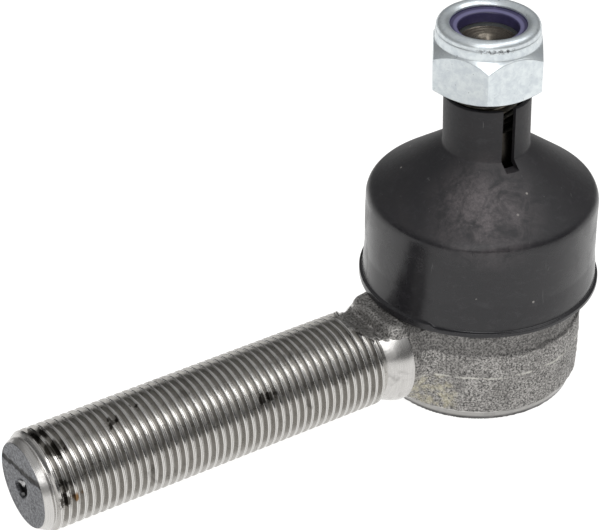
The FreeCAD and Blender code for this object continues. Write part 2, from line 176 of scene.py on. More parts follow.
def turned(outline: np.ndarray, turns: int, closed: bool = True) -> Surface:
    """Carry an outline once round the upright axis.

    Args:
        outline: (n, 2) points of radius and height, anticlockwise where the outline is closed.
        turns: number of steps round the axis.
        closed: whether the last point joins the first.
    Returns:
        The turned surface.
    """
    angle = np.arange(turns) * TAU / turns
    points = round_axis(outline[:, :1], angle, np.repeat(outline[:, 1:], turns, axis=1))
    return Surface(points, grid_quads(len(outline), turns, closed, True))


def rounded(corners: Sequence[tuple[float, float, float]], steps: int = 5) -> np.ndarray:
    """Round the corners of a closed outline with tangent arcs.

    Each corner's arc starts and ends at radius x tan(turn / 2) from the corner, and its points are
    spread evenly over the turn.

    Args:
        corners: (radius, height, round) for each corner; a round of 0 stays sharp.
        steps: number of points on each arc.
    Returns:
        (n, 2) points of the rounded outline.
    """
    places = np.array([corner[:2] for corner in corners], float)
    pieces = []
    for index, (_, _, bend) in enumerate(corners):
        here = places[index]
        before = places[index - 1] - here
        after = places[(index + 1) % len(places)] - here
        before /= np.linalg.norm(before)
        after /= np.linalg.norm(after)
        half = math.acos(np.clip(before @ after, -1.0, 1.0)) / 2.0
        nearly_straight = half > math.pi / 2 - 0.01
        if bend <= 0.0 or nearly_straight:
            pieces.append(here[None, :])
            continue
        bisector = (before + after) / np.linalg.norm(before + after)
        centre = here + bisector * bend / math.sin(half)
        first = here + before * bend / math.tan(half) - centre
        last = here + after * bend / math.tan(half) - centre
        share = np.linspace(0.0, 1.0, steps)[:, None]
        sweep = math.pi - 2.0 * half
        arc = (np.sin((1 - share) * sweep) * first + np.sin(share * sweep) * last) / math.sin(sweep)
        pieces.append(centre + arc)
    return np.vstack(pieces)


def densified(outline: np.ndarray, step: float, closed: bool = True) -> np.ndarray:
    """Add points on the long straight runs of an outline.

    Args:
        outline: (n, 2) points.
        step: longest run left between two points.
        closed: whether the last point joins the first.
    Returns:
        The outline with its runs divided evenly.
    """
    following = np.roll(outline, -1, axis=0)
    count = len(outline) if closed else len(outline) - 1
    pieces = []
    for index in range(count):
        length = float(np.linalg.norm(following[index] - outline[index]))
        parts = max(1, math.ceil(length / step))
        share = np.arange(parts)[:, None] / parts
        pieces.append(outline[index] + share * (following[index] - outline[index]))
    if not closed:
        pieces.append(outline[-1:])
    return np.vstack(pieces)


def arc_points(centre: Pair, radius: float, first: float, last: float, count: int) -> np.ndarray:
    """Points of a round stretch of an outline.

    Args:
        centre: middle of the arc.
        radius: its radius.
        first: angle of its first point, in radians.
        last: angle of its last point, in radians.
        count: number of points.
    Returns:
        (count, 2) points, centre + radius (cos, sin).
    """
    angle = np.linspace(first, last, count)
    return np.array(centre) + radius * np.stack([np.cos(angle), np.sin(angle)], axis=1)


def waves(points: np.ndarray, length: float, seed: int, count: int = 24) -> np.ndarray:
    """Smooth random relief: the mean of sine waves that run in random directions.

    Args:
        points: (n, d) places.
        length: typical wavelength, in the units of the points.
        seed: seed of the random directions and phases.
        count: number of waves.
    Returns:
        (n,) heights, mostly between -1 and 1.
    """
    dice = np.random.default_rng(seed)
    direction = dice.normal(size=(points.shape[1], count))
    direction /= np.linalg.norm(direction, axis=0)
    pace = TAU / (length * dice.uniform(0.6, 1.6, count))
    phase = dice.uniform(0.0, TAU, count)
    return np.sin(points @ direction * pace + phase).sum(axis=1) / math.sqrt(count)


def smooth_step(low: float, high: float, value: np.ndarray) -> np.ndarray:
    """Rise from 0 at low to 1 at high with level ends: 3 share squared less 2 share cubed.

    Args:
        low: where the rise starts.
        high: where it ends, which may lie below low.
        value: places along it.
    Returns:
        Values from 0 to 1.
    """
    share = np.clip((value - low) / (high - low), 0.0, 1.0)
    return share * share * (3.0 - 2.0 * share)


def smooth_union(first: np.ndarray, second: np.ndarray, reach: float) -> np.ndarray:
    """Join two distance fields with a fillet: the smaller one, less reach/4 x (1 - gap/reach) squared.

    Args:
        first: distances to one solid.
        second: distances to the other.
        reach: gap between the two below which they are joined.
    Returns:
        Distances to both as one.
    """
    share = np.maximum(reach - np.abs(first - second), 0.0) / reach
    return np.minimum(first, second) - share * share * reach * 0.25


# ---------------------------------------------------------------- threads


@dataclass(frozen=True)
class ThreadForm:
    """A metric external thread with a flat crest and a rounded root."""

    major_radius: float
    pitch: float
    depth_share: float = 0.6134
    crest_share: float = 0.17
    root_share: float = 0.22
    crest_dip: float = 0.0
    edge_width: float = 0.03
    edge_drop: float = 0.03
    bowl_share: float = 0.12

    def stations(self) -> np.ndarray:
        """Places along one pitch, as shares of it, where the form needs a point."""
        crest = self.crest_share / 2.0
        root = 0.5 - self.root_share / 2.0
        edge = self.edge_width
        bowl = 0.5 - self.root_share / 4.0
        side = np.array([crest * 0.5, crest - edge, crest, crest + edge, root, bowl])
        return np.concatenate([[0.0], side, [0.5], 1.0 - side[::-1]])

    def radius(self, station: np.ndarray) -> np.ndarray:
        """Radius of the form at a share of a pitch from a crest's middle.

        The flank falls in a straight line from the crest's edge to the root's, the crest's edges are
        eased by a small drop, the root is a cosine bowl, and so is the dip that a rolled crest keeps
        along its middle.

        Args:
            station: places along the thread, in pitches.
        Returns:
            Radii in millimetres.
        """
        away = np.abs(((station + 0.5) % 1.0) - 0.5)
        crest = self.crest_share / 2.0
        root = 0.5 - self.root_share / 2.0
        depth = self.pitch * self.depth_share
        fall = np.clip((away - crest) / (root - crest), 0.0, 1.0) * (1.0 - self.bowl_share)
        bowl = self.bowl_share * np.sin(0.5 * math.pi * np.clip((away - root) / (0.5 - root), 0.0, 1.0))
        ease = self.edge_drop * np.clip((away - crest + self.edge_width) / self.edge_width, 0.0, 1.0)
        middle = np.clip(away / (crest - self.edge_width), 0.0, 1.0)
        dip = self.crest_dip * (0.5 + 0.5 * np.cos(math.pi * middle))
        return self.major_radius - depth * np.minimum(1.0, fall + bowl + ease) - dip


def threaded(form: ThreadForm, low: float, high: float, envelope: Field, turns: int) -> Surface:
    """Right-hand threaded surface about the upright axis, whose grid lines follow the helix.

    The line at share s of pitch k starts at height low + pitch (k - 1 + s) and climbs one pitch a turn,
    so each turn's end meets the line one pitch further on.  Heights are clipped to the two ends, and the
    radius is the smaller of the thread form's and the envelope's.

    Args:
        form: the thread.
        low: lower end of the surface.
        high: upper end of the surface.
        envelope: largest radius allowed at a height.
        turns: number of steps round the axis.
    Returns:
        The surface, whose end rings are circles that other surfaces can be welded to.
    """
    share = form.stations()
    pitches = math.ceil((high - low) / form.pitch) + 3
    line = (np.arange(pitches)[:, None] + share[None, :]).ravel() - 1.0
    angle = np.arange(turns) * TAU / turns
    height = low + form.pitch * (line[:, None] + angle[None, :] / TAU)
    height = np.clip(height, low, high)
    radius = np.minimum(form.radius(line)[:, None], envelope(height))
    quads = grid_quads(len(line), turns, False, False)
    lower = np.arange(len(line) - 1 - len(share))
    upper = lower + len(share)
    last = turns - 1
    seam = [lower * turns + last, upper * turns, (upper + 1) * turns, (lower + 1) * turns + last]
    return Surface(round_axis(radius, angle, height), np.vstack([quads, np.stack(seam, axis=1)]))


# ---------------------------------------------------------------- solids from a distance field


def contour(field_at: Field, low: Sequence[float], high: Sequence[float], step: float) -> Surface:
    """Skin the place where a distance field is zero.

    One point stands in each grid cell that the skin passes through, first at the mean of the crossings
    on the cell's edges, then moved along the field's slope until the field is zero there.  Each grid edge
    that the skin crosses gives one quad between the four cells round it.

    Args:
        field_at: distance to the solid at (n, 3) points, negative inside.
        low: lower corner of the grid.
        high: upper corner of the grid.
        step: size of a cell.
    Returns:
        A closed surface with its quads facing outwards.
    """
    axes = [np.arange(a, b + step, step) for a, b in zip(low, high)]
    shape = tuple(len(axis) for axis in axes)
    places = np.stack(np.meshgrid(*axes, indexing="ij"), axis=-1).reshape(-1, 3)
    batches = np.array_split(places, 16)
    values = np.concatenate([field_at(batch) for batch in batches]).reshape(shape)
    inside = values < 0.0
    cells = tuple(n - 1 for n in shape)
    total = np.zeros(cells + (3,))
    count = np.zeros(cells)
    crossings = []
    for axis in range(3):
        near = [slice(None)] * 3
        far = [slice(None)] * 3
        near[axis] = slice(0, -1)
        far[axis] = slice(1, None)
        crossed = inside[tuple(near)] != inside[tuple(far)]
        index = np.argwhere(crossed)
        first = values[tuple(near)][crossed]
        second = values[tuple(far)][crossed]
        spot = index.astype(float)
        spot[:, axis] += first / (first - second)
        others = [other for other in range(3) if other != axis]
        around = []
        for shift in ((0, 0), (1, 0), (1, 1), (0, 1)):
            cell = index.copy()
            cell[:, others[0]] -= shift[0]
            cell[:, others[1]] -= shift[1]
            around.append(cell)
            key = tuple(cell.T)
            np.add.at(total, key, spot)
            np.add.at(count, key, 1.0)
        crossings.append((around, inside[tuple(near)][crossed], axis))
    used = count > 0
    number = np.cumsum(used.ravel()).reshape(cells) - 1
    points = np.array(low) + step * (total[used] / count[used][:, None])
    quads = []
    for around, solid_first, axis in crossings:
        ring = np.stack([number[tuple(cell.T)] for cell in around], axis=1)
        swap = solid_first if axis != 1 else ~solid_first
        ring[~swap] = ring[~swap][:, ::-1]
        quads.append(ring)
    return Surface(settled(points, field_at, step), np.vstack(quads))


def slope(field_at: Field, points: np.ndarray, reach: float) -> np.ndarray:
    """Slope of a field by central differences.

    Args:
        field_at: the field.
        points: (n, 3) places.
        reach: distance to each side.
    Returns:
        (n, 3) slopes.
    """
    climbs = [field_at(points + side) - field_at(points - side) for side in np.eye(3) * reach]
    return np.stack(climbs, axis=1) / (2.0 * reach)


def settled(points: np.ndarray, field_at: Field, step: float, passes: int = 3) -> np.ndarray:
    """Move points along the field's slope until it is zero, by at most half a cell each time.

    Args:
        points: (n, 3) places near the skin.
        field_at: the field.
        step: size of a cell.
        passes: number of moves.
    Returns:
        (n, 3) places on the skin.
    """
    for _ in range(passes):
        value = field_at(points)
        gradient = slope(field_at, points, step * 0.1)
        length = np.maximum((gradient ** 2).sum(axis=1), 0.25)
        move = -(value / length)[:, None] * gradient
        far = np.maximum(np.linalg.norm(move, axis=1) / (0.5 * step), 1.0)
        points = points + move / far[:, None]
    return points


# ---------------------------------------------------------------- objects


def add_object(name: str, surface: Surface, sharp: float = SHARP_TURN) -> bpy.types.Object:
    """Make an object at the origin from a surface, welded, closed and facing outwards.

    Args:
        name: the piece's name.
        surface: its points and quads.
        sharp: edges that turn by more degrees than this stay sharp.
    Returns:
        The new object.
    """
    mesh = bpy.data.meshes.new(name)
    mesh.vertices.add(len(surface.points))
    mesh.vertices.foreach_set("co", (surface.points * MM).astype(np.float32).ravel())
    mesh.loops.add(surface.quads.size)
    mesh.loops.foreach_set("vertex_index", surface.quads.astype(np.int32).ravel())
    mesh.polygons.add(len(surface.quads))
    mesh.polygons.foreach_set("loop_start", np.arange(0, surface.quads.size, 4, dtype=np.int32))
    mesh.update(calc_edges=True)
    tidy = bmesh.new()
    tidy.from_mesh(mesh)
    bmesh.ops.remove_doubles(tidy, verts=tidy.verts, dist=WELD)
    bmesh.ops.dissolve_degenerate(tidy, edges=tidy.edges, dist=WELD)
    open_edges = sum(1 for edge in tidy.edges if not edge.is_manifold)
    if tidy.calc_volume(signed=True) < 0.0:
        bmesh.ops.reverse_faces(tidy, faces=tidy.faces)
    tidy.to_mesh(mesh)
    tidy.free()
    mesh.validate()
    mesh.shade_smooth()
    mesh.set_sharp_from_angle(angle=math.radians(sharp))
    piece = bpy.data.objects.new(name, mesh)
    bpy.context.scene.collection.objects.link(piece)
    counts = len(mesh.vertices), len(mesh.polygons), open_edges
    LOG.info("%s: %d points, %d faces, %d open edges", name, *counts)
    return piece


def bevel_edges(piece: bpy.types.Object, width: float, angle: float = 30.0) -> None:
    """Ease a piece's hard edges.

    Args:
        piece: the piece.
        width: width of the bevel, in millimetres.
        angle: edges that turn by more degrees than this are eased.
    """
    bevel = piece.modifiers.new("eased_edges", "BEVEL")
    bevel.width = width * MM
    bevel.segments = 2
    bevel.limit_method = "ANGLE"
    bevel.angle_limit = math.radians(angle)
    bevel.harden_normals = False


def cut_away(piece: bpy.types.Object, cutter: Surface) -> None:
    """Cut a closed surface out of a piece, and remove the cutter.

    Args:
        piece: the piece that is cut.
        cutter: the closed surface to take away.
    """
    tool = add_object(piece.name + "_cutter", cutter)
    modifier = piece.modifiers.new("cut", "BOOLEAN")
    modifier.operation = "DIFFERENCE"
    modifier.solver = "EXACT"
    modifier.object = tool
    bpy.context.view_layer.update()
    evaluated = piece.evaluated_get(bpy.context.evaluated_depsgraph_get())
    result = bpy.data.meshes.new_from_object(evaluated)
    piece.modifiers.clear()
    piece.data = result
    result.shade_smooth()
    result.set_sharp_from_angle(angle=math.radians(SHARP_TURN))
    bpy.data.objects.remove(tool)


def box_surface(low: Sequence[float], high: Sequence[float], turn: float = 0.0) -> Surface:
    """Closed box, turned about the upright axis.

    Args:
        low: lower corner.
        high: upper corner.
        turn: angle in degrees.
    Returns:
        The box's surface.
    """
    corners = np.array([[x, y, z] for x in (0, 1) for y in (0, 1) for z in (0, 1)], float)
    places = np.array(low) + corners * (np.array(high) - np.array(low))
    angle = math.radians(turn)
    cosine, sine = math.cos(angle), math.sin(angle)
    spin = np.array([[cosine, -sine, 0], [sine, cosine, 0], [0, 0, 1]])
    quads = np.array([[0, 1, 3, 2], [4, 6, 7, 5], [0, 4, 5, 1], [2, 3, 7, 6], [0, 2, 6, 4], [1, 5, 7, 3]])
    return Surface(places @ spin.T, quads)


def node_box(node: str) -> tuple[np.ndarray, np.ndarray]:
    """Lowest and highest corner of a node of the frame.

    Args:
        node: the node's name.
    Returns:
        The two corners, in millimetres.
    """
    low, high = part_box(node)
    return np.array(low) / MM, np.array(high) / MM


# ---------------------------------------------------------------- material tools


class Tree:
    """Lays out the nodes of one material or node group."""

    def __init__(self, tree: bpy.types.NodeTree) -> None:
        """Keep the node tree that the nodes go into."""
        self.tree = tree

    def node(self, kind: str, inputs: Inputs, **settings: object) -> bpy.types.Node:
        """Add a node.

        Args:
            kind: the node's type name.
            inputs: a plain value or a socket for each named or numbered input.
            settings: the node's own properties.
        Returns:
            The node.
        """
        node = self.tree.nodes.new(kind)
        for name, value in settings.items():
            setattr(node, name, value)
        for name, value in inputs.items():
            if isinstance(value, bpy.types.NodeSocket):
                self.tree.links.new(value, node.inputs[name])
            else:
                node.inputs[name].default_value = value
        return node

    def place(self) -> Socket:
        """Object coordinates."""
        return self.node("ShaderNodeTexCoord", {}).outputs["Object"]

    def parts(self, vector: Socket) -> tuple[Socket, Socket, Socket]:
        """X, Y and Z of a vector."""
        node = self.node("ShaderNodeSeparateXYZ", {"Vector": vector})
        return node.outputs["X"], node.outputs["Y"], node.outputs["Z"]

    def sum(self, operation: str, first: Value, second: Value = 0.0, clamp: bool = False) -> Socket:
        """One step of arithmetic."""
        node = self.node("ShaderNodeMath", {0: first, 1: second}, operation=operation, use_clamp=clamp)
        return node.outputs[0]

    def times(self, first: Value, second: Value) -> Socket:
        """Product of two values."""
        return self.sum("MULTIPLY", first, second)

    def plus(self, first: Value, second: Value) -> Socket:
        """Sum of two values."""
        return self.sum("ADD", first, second)

    def less(self, first: Value, second: Value) -> Socket:
        """First value less the second."""
        return self.sum("SUBTRACT", first, second)

    def gap(self, first: Value, second: Value) -> Socket:
        """Size of the difference of two values."""
        return self.sum("ABSOLUTE", self.less(first, second))

    def millimetres(self, value: Socket) -> Socket:
        """Length in millimetres of a value in metres."""
        return self.times(value, 1.0 / MM)

    def distance(self, place: Socket, centre: Value) -> Socket:
        """Distance between two places, in metres."""
        return self.node("ShaderNodeVectorMath", {0: place, 1: centre}, operation="DISTANCE").outputs["Value"]

    def rise(
        self, value: Value, low: Value, high: Value, to_low: float = 0.0, to_high: float = 1.0
    ) -> Socket:
        """Smooth rise from one value to another as an input goes from low to high."""
        inputs = {"Value": value, "From Min": low, "From Max": high, "To Min": to_low, "To Max": to_high}
        return self.node("ShaderNodeMapRange", inputs, interpolation_type="SMOOTHSTEP").outputs["Result"]

    def fall(self, value: Value, low: Value, high: Value) -> Socket:
        """Smooth fall from 1 to 0 as an input goes from low to high."""
        return self.rise(value, low, high, 1.0, 0.0)

    def noise(
        self, vector: Socket, length: float, detail: float = 3.0, rough: float = 0.55, warp: float = 0.0
    ) -> Socket:
        """Noise whose features are about a length in millimetres across."""
        return self.cloud(vector, 1.0 / (length * MM), detail, rough, warp)

    def cloud(self, vector: Socket, scale: Value, detail: float, rough: float, warp: float = 0.0) -> Socket:
        """Noise of a scale that may be a socket."""
        inputs = {"Vector": vector, "Scale": scale, "Detail": detail, "Roughness": rough, "Distortion": warp}
        return self.node("ShaderNodeTexNoise", inputs).outputs["Fac"]

    def stretched(self, vector: Socket, scale: Sequence[float]) -> Socket:
        """Coordinates squeezed along the axes, for marks that run one way."""
        return self.node("ShaderNodeMapping", {"Vector": vector, "Scale": scale}).outputs["Vector"]

    def mix(self, share: Value, first: Value, second: Value) -> Socket:
        """Mix two colours."""
        return self.node("ShaderNodeMix", {0: share, 6: first, 7: second}, data_type="RGBA").outputs[2]

    def blend(self, share: Value, first: Value, second: Value) -> Socket:
        """Mix two numbers."""
        return self.node("ShaderNodeMix", {0: share, 2: first, 3: second}, data_type="FLOAT").outputs[0]

    def bump(
        self, height: Socket, depth: float, strength: float = 1.0, under: Optional[Socket] = None
    ) -> Socket:
        """Normal of a relief whose full height is a depth in millimetres."""
        inputs: Inputs = {"Height": height, "Distance": depth * MM, "Strength": strength}
        if under is not None:
            inputs["Normal"] = under
        return self.node("ShaderNodeBump", inputs).outputs["Normal"]

    def group(self, group: bpy.types.NodeTree, inputs: Inputs) -> bpy.types.Node:
        """Place a node group."""
        return self.node("ShaderNodeGroup", inputs, node_tree=group)

    def wire(self, target: bpy.types.Node, **sockets: Socket) -> None:
        """Link worked-out values to a node's inputs, with underscores for spaces."""
        for label, socket in sockets.items():
            self.tree.links.new(socket, target.inputs[label.replace("_", " ")])


def new_group(
    name: str, inputs: Sequence[tuple[str, str]], outputs: Sequence[str]
) -> tuple[bpy.types.NodeTree, Tree, bpy.types.NodeOutputs, bpy.types.Node]:
    """Make an empty node group.

    Args:
        name: the group's name.
        inputs: label and socket type of each input.
        outputs: label of each output, all plain numbers.
    Returns:
        The group, its tree, the sockets that come in and the node that they leave by.
    """
    group = bpy.data.node_groups.new(name, "ShaderNodeTree")
    for label, kind in inputs:
        group.interface.new_socket(name=label, in_out="INPUT", socket_type=kind)
    for label in outputs:
        group.interface.new_socket(name=label, in_out="OUTPUT", socket_type=NUMBER_SOCKET)
    source = group.nodes.new("NodeGroupInput")
    return group, Tree(group), source.outputs, group.nodes.new("NodeGroupOutput")


class Effects:
    """Node groups that more than one finish uses."""

    def __init__(self) -> None:
        """Build each group once."""
        self.patches = self.build_patches()
        self.grain = self.build_grain()
        self.axis_distance = self.build_axis_distance()
        self.spot = self.build_spot()

    @staticmethod
    def build_patches() -> bpy.types.NodeTree:
        """Soft-edged patches: warped noise that rises through a level."""
        inputs = [(label, NUMBER_SOCKET) for label in ("Scale", "Level", "Softness")]
        group, tree, given, sink = new_group("patches", inputs, ["Mask"])
        cloud = tree.cloud(tree.place(), given["Scale"], 5.0, 0.62, 0.6)
        top = tree.plus(given["Level"], given["Softness"])
        tree.wire(sink, Mask=tree.rise(cloud, given["Level"], top))
        return group

    @staticmethod
    def build_grain() -> bpy.types.NodeTree:
        """Grain: fine noise and pits, as a height and as a light-and-dark share."""
        group, tree, given, sink = new_group("grain", [("Scale", NUMBER_SOCKET)], ["Height", "Share"])
        place = tree.place()
        cloud = tree.cloud(place, given["Scale"], 4.0, 0.7)
        coarse = {"Vector": place, "Scale": tree.times(given["Scale"], 0.45)}
        pits = tree.node("ShaderNodeTexVoronoi", coarse, feature="SMOOTH_F1")
        height = tree.plus(tree.times(cloud, 0.65), tree.times(pits.outputs["Distance"], 0.5))
        tree.wire(sink, Height=height, Share=tree.rise(cloud, 0.32, 0.68))
        return group

    @staticmethod
    def build_axis_distance() -> bpy.types.NodeTree:
        """Distance from the shank's axis and from the stud's axis, in millimetres."""
        group, tree, _, sink = new_group("axis_distance", [], ["From shank", "From stud"])
        x, y, z = tree.parts(tree.place())
        for first, second, label in ((y, z, "From_shank"), (x, y, "From_stud")):
            squares = tree.plus(tree.times(first, first), tree.times(second, second))
            tree.wire(sink, **{label: tree.millimetres(tree.sum("SQRT", squares))})
        return group

    @staticmethod
    def build_spot() -> bpy.types.NodeTree:
        """Ragged spot: the distance from a place plus a little noise, against a radius in millimetres."""
        inputs = [("Centre", "NodeSocketVector"), ("Radius", NUMBER_SOCKET)]
        group, tree, given, sink = new_group("spot", inputs, ["Mask"])
        place = tree.place()
        ragged = tree.times(tree.less(tree.noise(place, 1.1, 4.0, 0.65), 0.5), 3.2)
        edge = tree.plus(tree.millimetres(tree.distance(place, given["Centre"])), ragged)
        tree.wire(sink, Mask=tree.fall(edge, tree.times(given["Radius"], 0.7), given["Radius"]))
        return group

    def patch(self, tree: Tree, scale: float, level: float, softness: float) -> Socket:
        """Mask of soft-edged patches.

        Args:
            tree: the tree that the group goes into.
            scale: patches for each metre.
            level: share of the noise where a patch starts.
            softness: width of its edge, as a share of the noise.
        Returns:
            The mask.
        """
        inputs = {"Scale": scale, "Level": level, "Softness": softness}
        return tree.group(self.patches, inputs).outputs["Mask"]

    def spot_at(self, tree: Tree, centre: Sequence[float], radius: float) -> Socket:
        """Mask of one ragged spot.

        Args:
            tree: the tree that the group goes into.
            centre: its middle, in metres.
            radius: its radius, in millimetres.
        Returns:
            The mask.
        """
        return tree.group(self.spot, {"Centre": centre, "Radius": radius}).outputs["Mask"]


# ---------------------------------------------------------------- finishes


class Tone:
    """Colours that the finishes are mixed from, as red, green, blue and opacity."""

    FORGED_DARK = (0.055, 0.053, 0.052, 1)
    FORGED_LIGHT = (0.52, 0.505, 0.485, 1)
    FORGED_CLOUD = (0.13, 0.125, 0.12, 1)
    FORGED_BAND_AND_CAP_SHADE = (0.10, 0.097, 0.095, 1)
    PARTING_LINE_HIGHLIGHT = (0.66, 0.65, 0.60, 1)
    WARM_REFLECTION = (0.80, 0.74, 0.52, 1)
    RIM_DARK = (0.26, 0.255, 0.245, 1)
    RIM_LIGHT = (0.44, 0.43, 0.415, 1)
    RIM_EDGE_HIGHLIGHT = (0.72, 0.71, 0.69, 1)
    RIM_UNDER_SHADE = (0.035, 0.034, 0.033, 1)
    RIM_SMUDGE = (0.24, 0.235, 0.23, 1)
    FLANK_DARK = (0.32, 0.308, 0.29, 1)
    FLANK_LIGHT = (0.50, 0.487, 0.465, 1)
    CREST = (0.37, 0.36, 0.345, 1)
    CREST_EDGE_HIGHLIGHT = (0.66, 0.65, 0.63, 1)
    OIL = (0.030, 0.026, 0.020, 1)
    COLLAR_DARK = (0.44, 0.43, 0.42, 1)
    COLLAR_LIGHT = (0.64, 0.63, 0.61, 1)
    COLLAR_SMEAR = (0.27, 0.26, 0.25, 1)
    SAND_DARK = (0.075, 0.077, 0.082, 1)
    SAND_LIGHT = (0.27, 0.275, 0.29, 1)
    HOLE_SHADE = (0.03, 0.03, 0.031, 1)
    GLINT = (0.75, 0.75, 0.75, 1)
    CRACK = (0.02, 0.019, 0.018, 1)
    RUST = (0.17, 0.085, 0.022, 1)
    BLACK = (0.0095, 0.0090, 0.0112, 1)
    BLACK_DUST = (0.036, 0.031, 0.031, 1)
    BLACK_CROWN_HIGHLIGHT = (0.115, 0.100, 0.104, 1)
    BLACK_SCUFF = (0.034, 0.033, 0.037, 1)
    BLACK_SPECK = (0.33, 0.31, 0.29, 1)
    BLACK_SCRATCH = (0.12, 0.12, 0.12, 1)
    ZINC_PIT = (0.20, 0.22, 0.25, 1)
    FOLD_GRIME_AND_SHADE = (0.03, 0.03, 0.034, 1)
    NYLON_LIT = (0.19, 0.18, 0.33, 1)
    STUD_SHADE = (0.022, 0.020, 0.018, 1)


@dataclass(frozen=True)
class Coat:
    """A built material and the record's slot that it comes from."""

    material: bpy.types.Material
    slot: str

    def dress(self, piece: bpy.types.Object) -> None:
        """Give a piece this material.

        Args:
            piece: the piece.
        """
        piece.data.materials.clear()
        piece.data.materials.append(self.material)


@dataclass(frozen=True)
class Finish:
    """What every finish shares: a name, its slot in the record and its plain shader values."""

    name: str
    slot: str
    metallic: float
    specular: float = 0.5
    coat: float = 0.0

    def build(self, effects: Effects) -> Coat:
        """Make the material: values that are even all over here, and what varies in paint.

        Args:
            effects: the shared node groups.
        Returns:
            The material with its slot.
        """
        material = bpy.data.materials.new(self.name)
        material.use_nodes = True
        material.node_tree.nodes.clear()
        tree = Tree(material.node_tree)
        even = {"Metallic": self.metallic, "Specular IOR Level": self.specular, "Coat Weight": self.coat}
        shader = tree.node("ShaderNodeBsdfPrincipled", even)
        tree.node("ShaderNodeOutputMaterial", {"Surface": shader.outputs["BSDF"]})
        self.paint(tree, shader, effects)
        return Coat(material, self.slot)

    def paint(self, tree: Tree, shader: bpy.types.Node, effects: Effects) -> None:
        """Lay out the nodes for what varies over the surface.

        Args:
            tree: the material's tree.
            shader: its shader, which the results are linked to.
            effects: the shared node groups.
        """
        raise NotImplementedError


@dataclass(frozen=True)
class ForgedSteel(Finish):
    """Blasted forged skin, turned bright at the foot rim, darker in the trimmed band at the top, partly as
    painted shade under the cap's rim.
    """

    rim_height: float = -9.35
    band_height: float = 2.9
    parting_height: float = -1.7
    grain_length: float = 0.34
    under_low: float = -11.2
    under_high: float = -10.5
    warm_reflection_place: tuple[float, float, float] = (-0.0166, -0.0090, -0.0064)
    warm_reflection_radius: float = 5.6

    def paint(self, tree: Tree, shader: bpy.types.Node, effects: Effects) -> None:
        """Lay out the skin, then the turned rim, and change from one to the other at the rim's height."""
        place = tree.place()
        x, _, z = tree.parts(place)
        height = tree.millimetres(z)
        grain = tree.group(effects.grain, {"Scale": 1.0 / (self.grain_length * MM)}).outputs
        clouds = effects.patch(tree, 190.0, 0.42, 0.25)
        skin = tree.mix(grain["Share"], Tone.FORGED_DARK, Tone.FORGED_LIGHT)
        skin = tree.mix(tree.times(clouds, 0.35), skin, Tone.FORGED_CLOUD)
        # The trimmed band under the cap's rim is darkened: partly its own darker, rougher skin, partly
        # painted shade of the cap's overhang.
        wander = tree.times(tree.noise(place, 6.0), 2.2)
        above = tree.rise(tree.plus(height, wander), self.band_height + 0.75, self.band_height + 1.35)
        above = tree.times(above, tree.rise(x, -0.0215, -0.0185))
        skin = tree.mix(tree.times(above, 0.48), skin, Tone.FORGED_BAND_AND_CAP_SHADE)
        # Painted highlight along the parting line's ridge, broken up by noise.
        line = tree.fall(tree.gap(height, self.parting_height), 0.08, 0.30)
        parting = tree.times(line, tree.rise(tree.noise(place, 2.2), 0.38, 0.56))
        skin = tree.mix(tree.times(parting, 0.65), skin, Tone.PARTING_LINE_HIGHLIGHT)
        # Painted warm reflection low on the near side of the eye.
        warm_reflection_mask = effects.spot_at(tree, self.warm_reflection_place, self.warm_reflection_radius)
        warm_reflection_mask = tree.times(warm_reflection_mask, tree.rise(tree.noise(place, 1.5, 3.0), 0.40, 0.66, 0.0, 0.34))
        skin = tree.mix(warm_reflection_mask, skin, Tone.WARM_REFLECTION)
        rim = tree.fall(height, self.rim_height - 0.12, self.rim_height + 0.05)
        rings = tree.noise(tree.stretched(place, (0.02, 0.02, 1.0)), 0.12, 2.0)
        smudge = effects.patch(tree, 420.0, 0.5, 0.2)
        bright = tree.mix(rings, Tone.RIM_DARK, Tone.RIM_LIGHT)
        # Painted highlight along the top edge of the turned rim.
        rim_edge_highlight = tree.rise(height, self.rim_height - 0.5, self.rim_height - 0.1)
        bright = tree.mix(rim_edge_highlight, bright, Tone.RIM_EDGE_HIGHLIGHT)
        # Painted shade along the lower edge of the turned rim.
        under = tree.fall(height, self.under_low, self.under_high)
        bright = tree.mix(tree.times(under, 0.93), bright, Tone.RIM_UNDER_SHADE)
        bright = tree.mix(tree.times(smudge, 0.5), bright, Tone.RIM_SMUDGE)
        skin_rough = tree.rise(grain["Share"], 0.0, 1.0, 0.66, 0.46)
        rough = tree.blend(rim, skin_rough, tree.rise(rings, 0.2, 0.8, 0.24, 0.4))
        relief = tree.bump(tree.times(grain["Height"], tree.less(1.0, rim)), 0.16, 0.9)
        tree.wire(shader, Base_Color=tree.mix(rim, skin, bright), Roughness=rough, Normal=relief)


